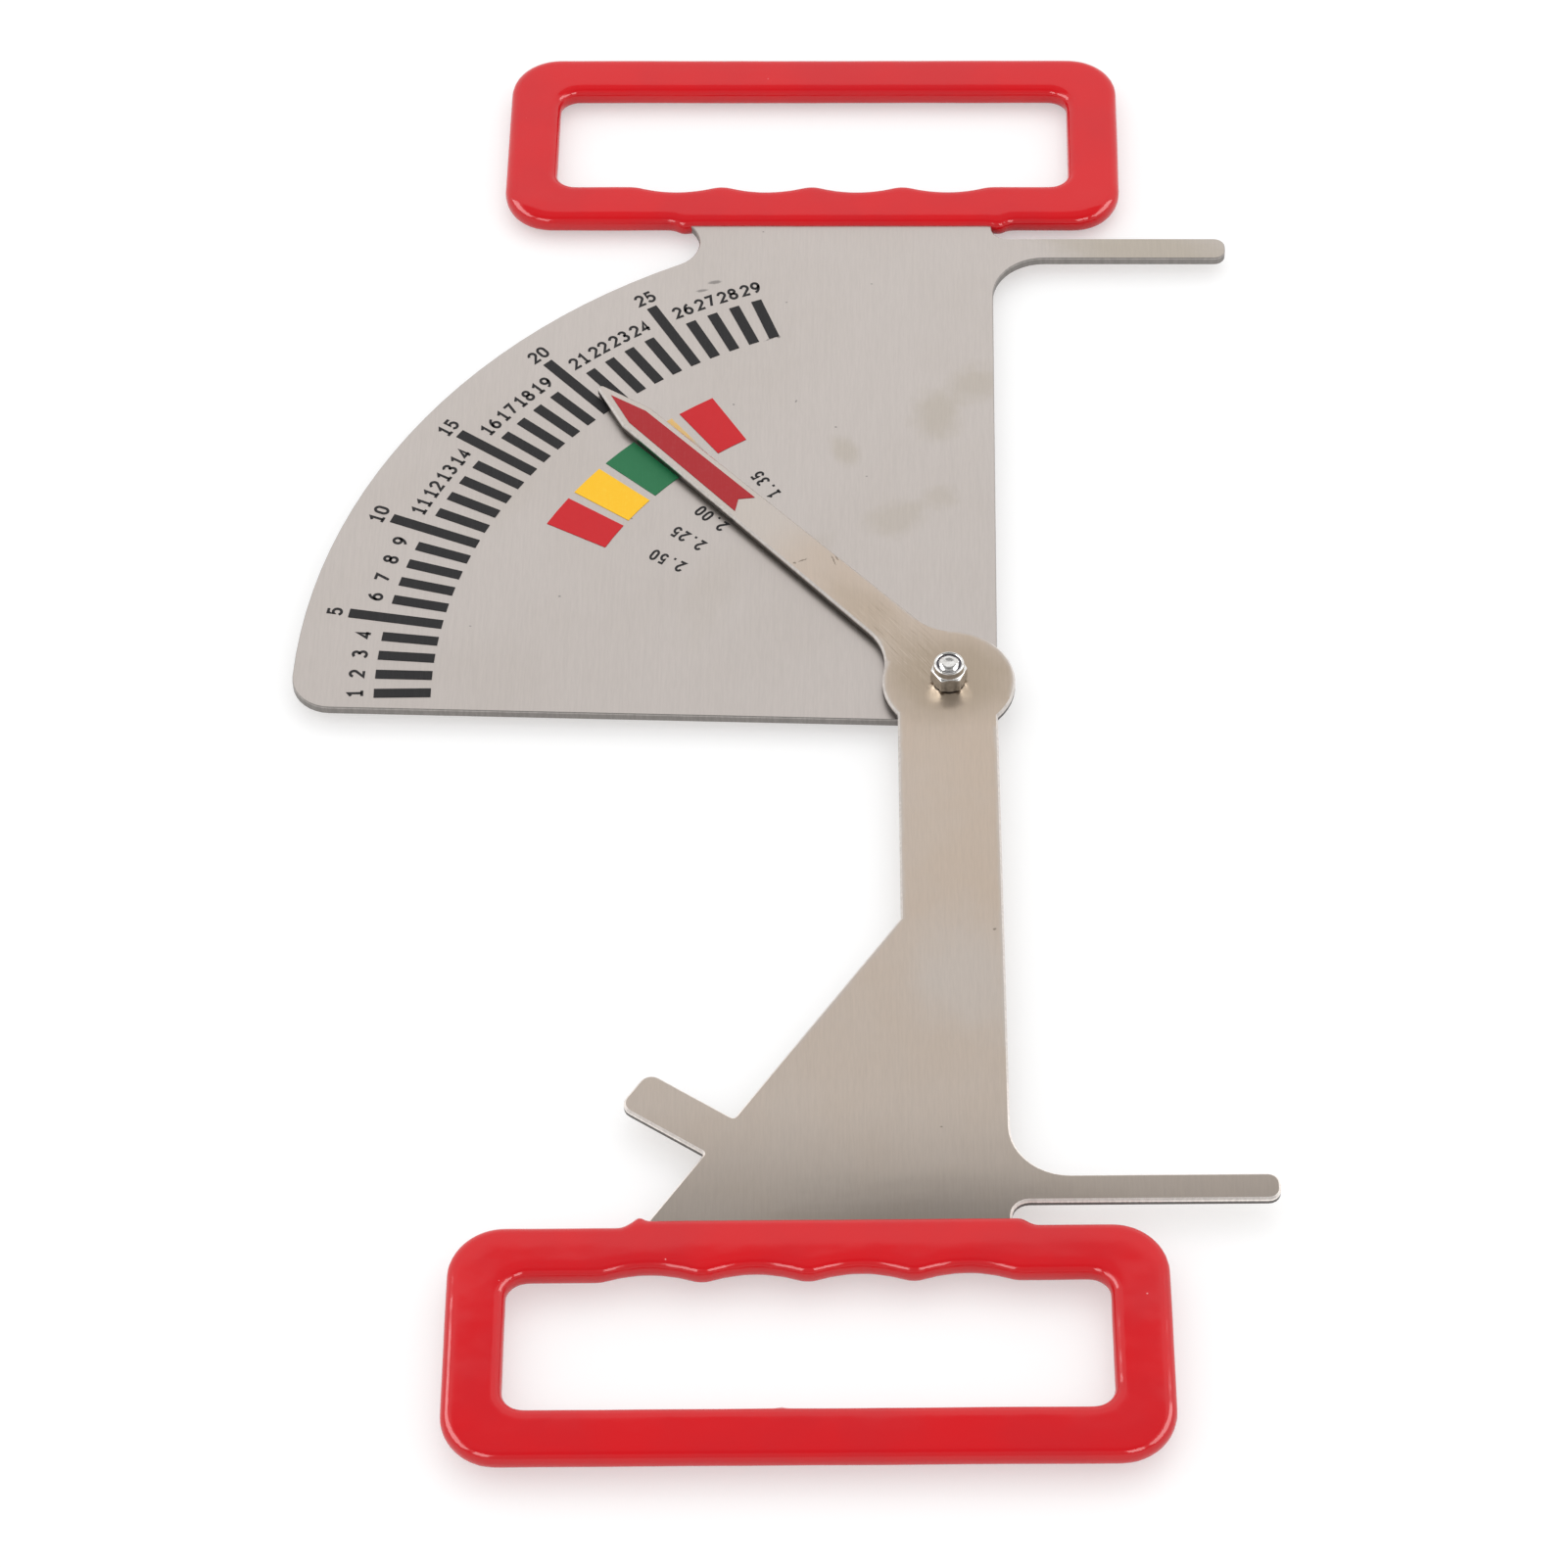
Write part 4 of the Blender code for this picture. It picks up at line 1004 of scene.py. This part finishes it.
def build_nut():
    """Hexagon with its chamfer, the round collar rolled over the ring, and the plain bore."""
    top, wall, rise = NUT_SHOULDER
    shoulder = [(CORNER - (CORNER - top) * share, wall + rise * share**0.6, True)
                for share in (0.2, 0.4, 0.6, 0.8, 1.0)]
    middle, level, radius = COLLAR_ROLL
    roll = [(x, z, False) for x, z in arc((middle, level), radius, 0, 180, 12.0)]
    profile = (*NUT_HEXAGON, *shoulder, *COLLAR_FOOT, *roll, *NUT_BORE)
    nut = turned("lock_nut_bright", rows(profile, NUT_FOOT), NUT_TURN)
    dress(nut, "bright_zinc")
    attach(nut, "scale_side")
    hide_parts("lock_nut")


def build_bolt():
    """Hexagon head with its chamfer underneath, and a threaded shank with a bevelled end."""
    chamfer = [(HEAD_FACE + (CORNER - HEAD_FACE) * share, HEAD_CHAMFER * share**1.4, True)
               for share in (0.25, 0.5, 0.75, 1.0)]
    rings = rows((*HEAD_FOOT, *chamfer), 0.0) + rows(HEAD_TOP, HEAD_HEIGHT)
    z = HEAD_HEIGHT + THREAD_START
    while z < BOLT_TOP - THREAD_END:
        rings += rows(THREAD, z)
        z += THREAD_PITCH
    rings += rows(BOLT_END, BOLT_TOP)
    bolt = turned("pivot_bolt_bright", rings, 0.0)
    dress(bolt, "bright_zinc")
    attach(bolt, "scale_side")
    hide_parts("pivot_bolt")


# Studio

FLOOR_SIZE = 12.0
FLOOR_ALBEDO = 0.64
FLOOR_MOTTLE = 0.01

# What the camera and reflections see on top of the floor's own light, so that it looks white
FLOOR_LIFT = 0.41

# The world: its plain light, and what gloss sees of it low down, overhead and in front
WORLD_LIGHT = 1.0
SKY_GLOSS = 1.06
TOP_GLOSS = 0.36
FRONT_GLOSS = 0.50

# The soft borders of the top in the direction's z, and of the front in its y and its z
TOP_EDGE = (0.800, 0.840)
FRONT_EDGE = (-0.35, -0.05)
HORIZON_EDGE = (0.10, 0.45)

# Lamps: place, aim, width, height, and radiance, 1 being white. Of a pair the right one is given
KEY_BOX = ((0.3, 1.1, 2.2), (0, 0, 0), 1.5, 1.2, 0.60)
SIDE_STRIP = ((1.4, -0.06, 1.02), (0, -0.06, 0), 1.9, 0.70, 5.0)
FRONT_BOX = ((0.74, -1.38, 1.15), (0, -0.1, 0), 0.75, 0.75, 5.5)
COATED = ("upper_grip_coat", "lower_grip_coat")
ZINCED = ("lock_nut_bright", "pivot_bolt_bright")

# The camera, fitted to the printed scale and the edges in the photograph
FOCAL_LENGTH = 125.82
SENSOR = 36.0
NEAREST = 0.05
AIM = (-40.40 * MM, -30.98 * MM)
DISTANCE = 1341.8 * MM
AZIMUTH = -2.033
ELEVATION = 50.688
ROLL = -1.440


def build_floor():
    """A matte pale floor that looks white and keeps the caliper's shadow."""
    half = FLOOR_SIZE / 2
    corners = [(x * half, y * half, 0.0) for x, y in ((-1, -1), (1, -1), (1, 1), (-1, 1))]
    floor = mesh_object("floor", corners, [(0, 1, 2, 3)])
    material = bpy.data.materials.new("pale_floor")
    material.use_nodes = True
    tree = material.node_tree
    tree.nodes.clear()
    mottle = speckle(tree, object_vector(tree), 3.0, 2.0)
    shade = blend(tree, mottle, (FLOOR_ALBEDO,) * 3, (FLOOR_ALBEDO + FLOOR_MOTTLE,) * 3)
    matte = add(tree, "ShaderNodeBsdfDiffuse", {"Color": shade})
    path = tree.nodes.new("ShaderNodeLightPath").outputs
    seen = calc(tree, "MAXIMUM", path["Is Camera Ray"], path["Is Glossy Ray"])
    seen = calc(tree, "MAXIMUM", seen, path["Is Transmission Ray"])
    glow = {"Color": (1, 1, 1, 1), "Strength": times(tree, seen, FLOOR_LIFT)}
    lift = add(tree, "ShaderNodeEmission", glow)
    total = add(tree, "ShaderNodeAddShader", {0: matte.outputs[0], 1: lift.outputs[0]})
    add(tree, "ShaderNodeOutputMaterial", {"Surface": total.outputs[0]})
    floor.data.materials.append(material)


def build_world():
    """White to the camera; a bright sky with a dimmer top to gloss; an even pale light to the rest."""
    world = bpy.data.worlds.new("studio")
    bpy.context.scene.world = world
    world.use_nodes = True
    tree = world.node_tree
    tree.nodes.clear()
    _, ahead, height = parts_of(tree, tree.nodes.new("ShaderNodeTexCoord").outputs["Generated"])
    top = ramp(tree, height, *TOP_EDGE, SKY_GLOSS, TOP_GLOSS)
    front = ramp(tree, ahead, *FRONT_EDGE, FRONT_GLOSS, 1.0)
    front = calc(tree, "MAXIMUM", front, ramp(tree, height, *HORIZON_EDGE, 1.0, 0.0))
    path = tree.nodes.new("ShaderNodeLightPath").outputs
    mirror = calc(tree, "MAXIMUM", path["Is Glossy Ray"], path["Is Transmission Ray"])
    lit = either(tree, mirror, times(tree, top, front), WORLD_LIGHT)
    strength = either(tree, path["Is Camera Ray"], 1.0, lit)
    background = add(tree, "ShaderNodeBackground", {"Color": (1, 1, 1, 1), "Strength": strength})
    add(tree, "ShaderNodeOutputWorld", {"Surface": background.outputs[0]})


def lamp(name, place, aim, width, height, radiance):
    """A soft box."""
    light = bpy.data.lights.new(name, "AREA")
    light.shape = "RECTANGLE"
    light.size = width
    light.size_y = height
    light.energy = radiance * math.pi * width * height
    obj = bpy.data.objects.new(name, light)
    bpy.context.scene.collection.objects.link(obj)
    obj.location = place
    obj.rotation_euler = (Vector(aim) - Vector(place)).to_track_quat("-Z", "Y").to_euler()
    return obj


def linked_pieces(name, pieces):
    """A collection of the pieces that a lamp lights."""
    made = bpy.data.collections.new(name)
    for piece in pieces:
        made.objects.link(bpy.data.objects[piece])
    return made


def build_lights():
    """A big box above, and highlights for the glossy pieces: a long box at each side, two near the camera."""
    lamp("key_box", *KEY_BOX).visible_glossy = False
    coated = linked_pieces("coated_pieces", COATED)
    glossy = linked_pieces("glossy_pieces", COATED + ZINCED)
    for name, side in (("left", -1), ("right", 1)):
        for kind, box, receivers in (("_strip", SIDE_STRIP, glossy), ("_front", FRONT_BOX, coated)):
            (x, y, z), *rest = box
            light = lamp(name + kind, (side * x, y, z), *rest)
            light.visible_diffuse = False
            light.light_linking.receiver_collection = receivers


def build_camera():
    data = bpy.data.cameras.new("camera")
    data.lens = FOCAL_LENGTH
    data.sensor_width = SENSOR
    data.clip_start = NEAREST
    camera = bpy.data.objects.new("camera", data)
    bpy.context.scene.collection.objects.link(camera)
    azimuth, elevation = math.radians(AZIMUTH), math.radians(ELEVATION)
    forward = Vector((
        math.sin(azimuth) * math.cos(elevation),
        math.cos(azimuth) * math.cos(elevation),
        -math.sin(elevation),
    ))
    aim = Vector((*AIM, PLATE_TOP))
    roll = Matrix.Rotation(math.radians(ROLL), 4, "Z")
    turn = forward.to_track_quat("-Z", "Y").to_matrix().to_4x4()
    camera.matrix_world = Matrix.Translation(aim - forward * DISTANCE) @ turn @ roll
    bpy.context.scene.camera = camera


def build():
    bpy.context.scene.view_settings.view_transform = "Standard"
    dress_frame()
    for handle in HANDLES:
        build_grip(handle)
    build_scale_numerals()
    build_zone_numbers()
    build_nut()
    build_bolt()
    build_floor()
    build_world()
    build_lights()
    build_camera()


build()
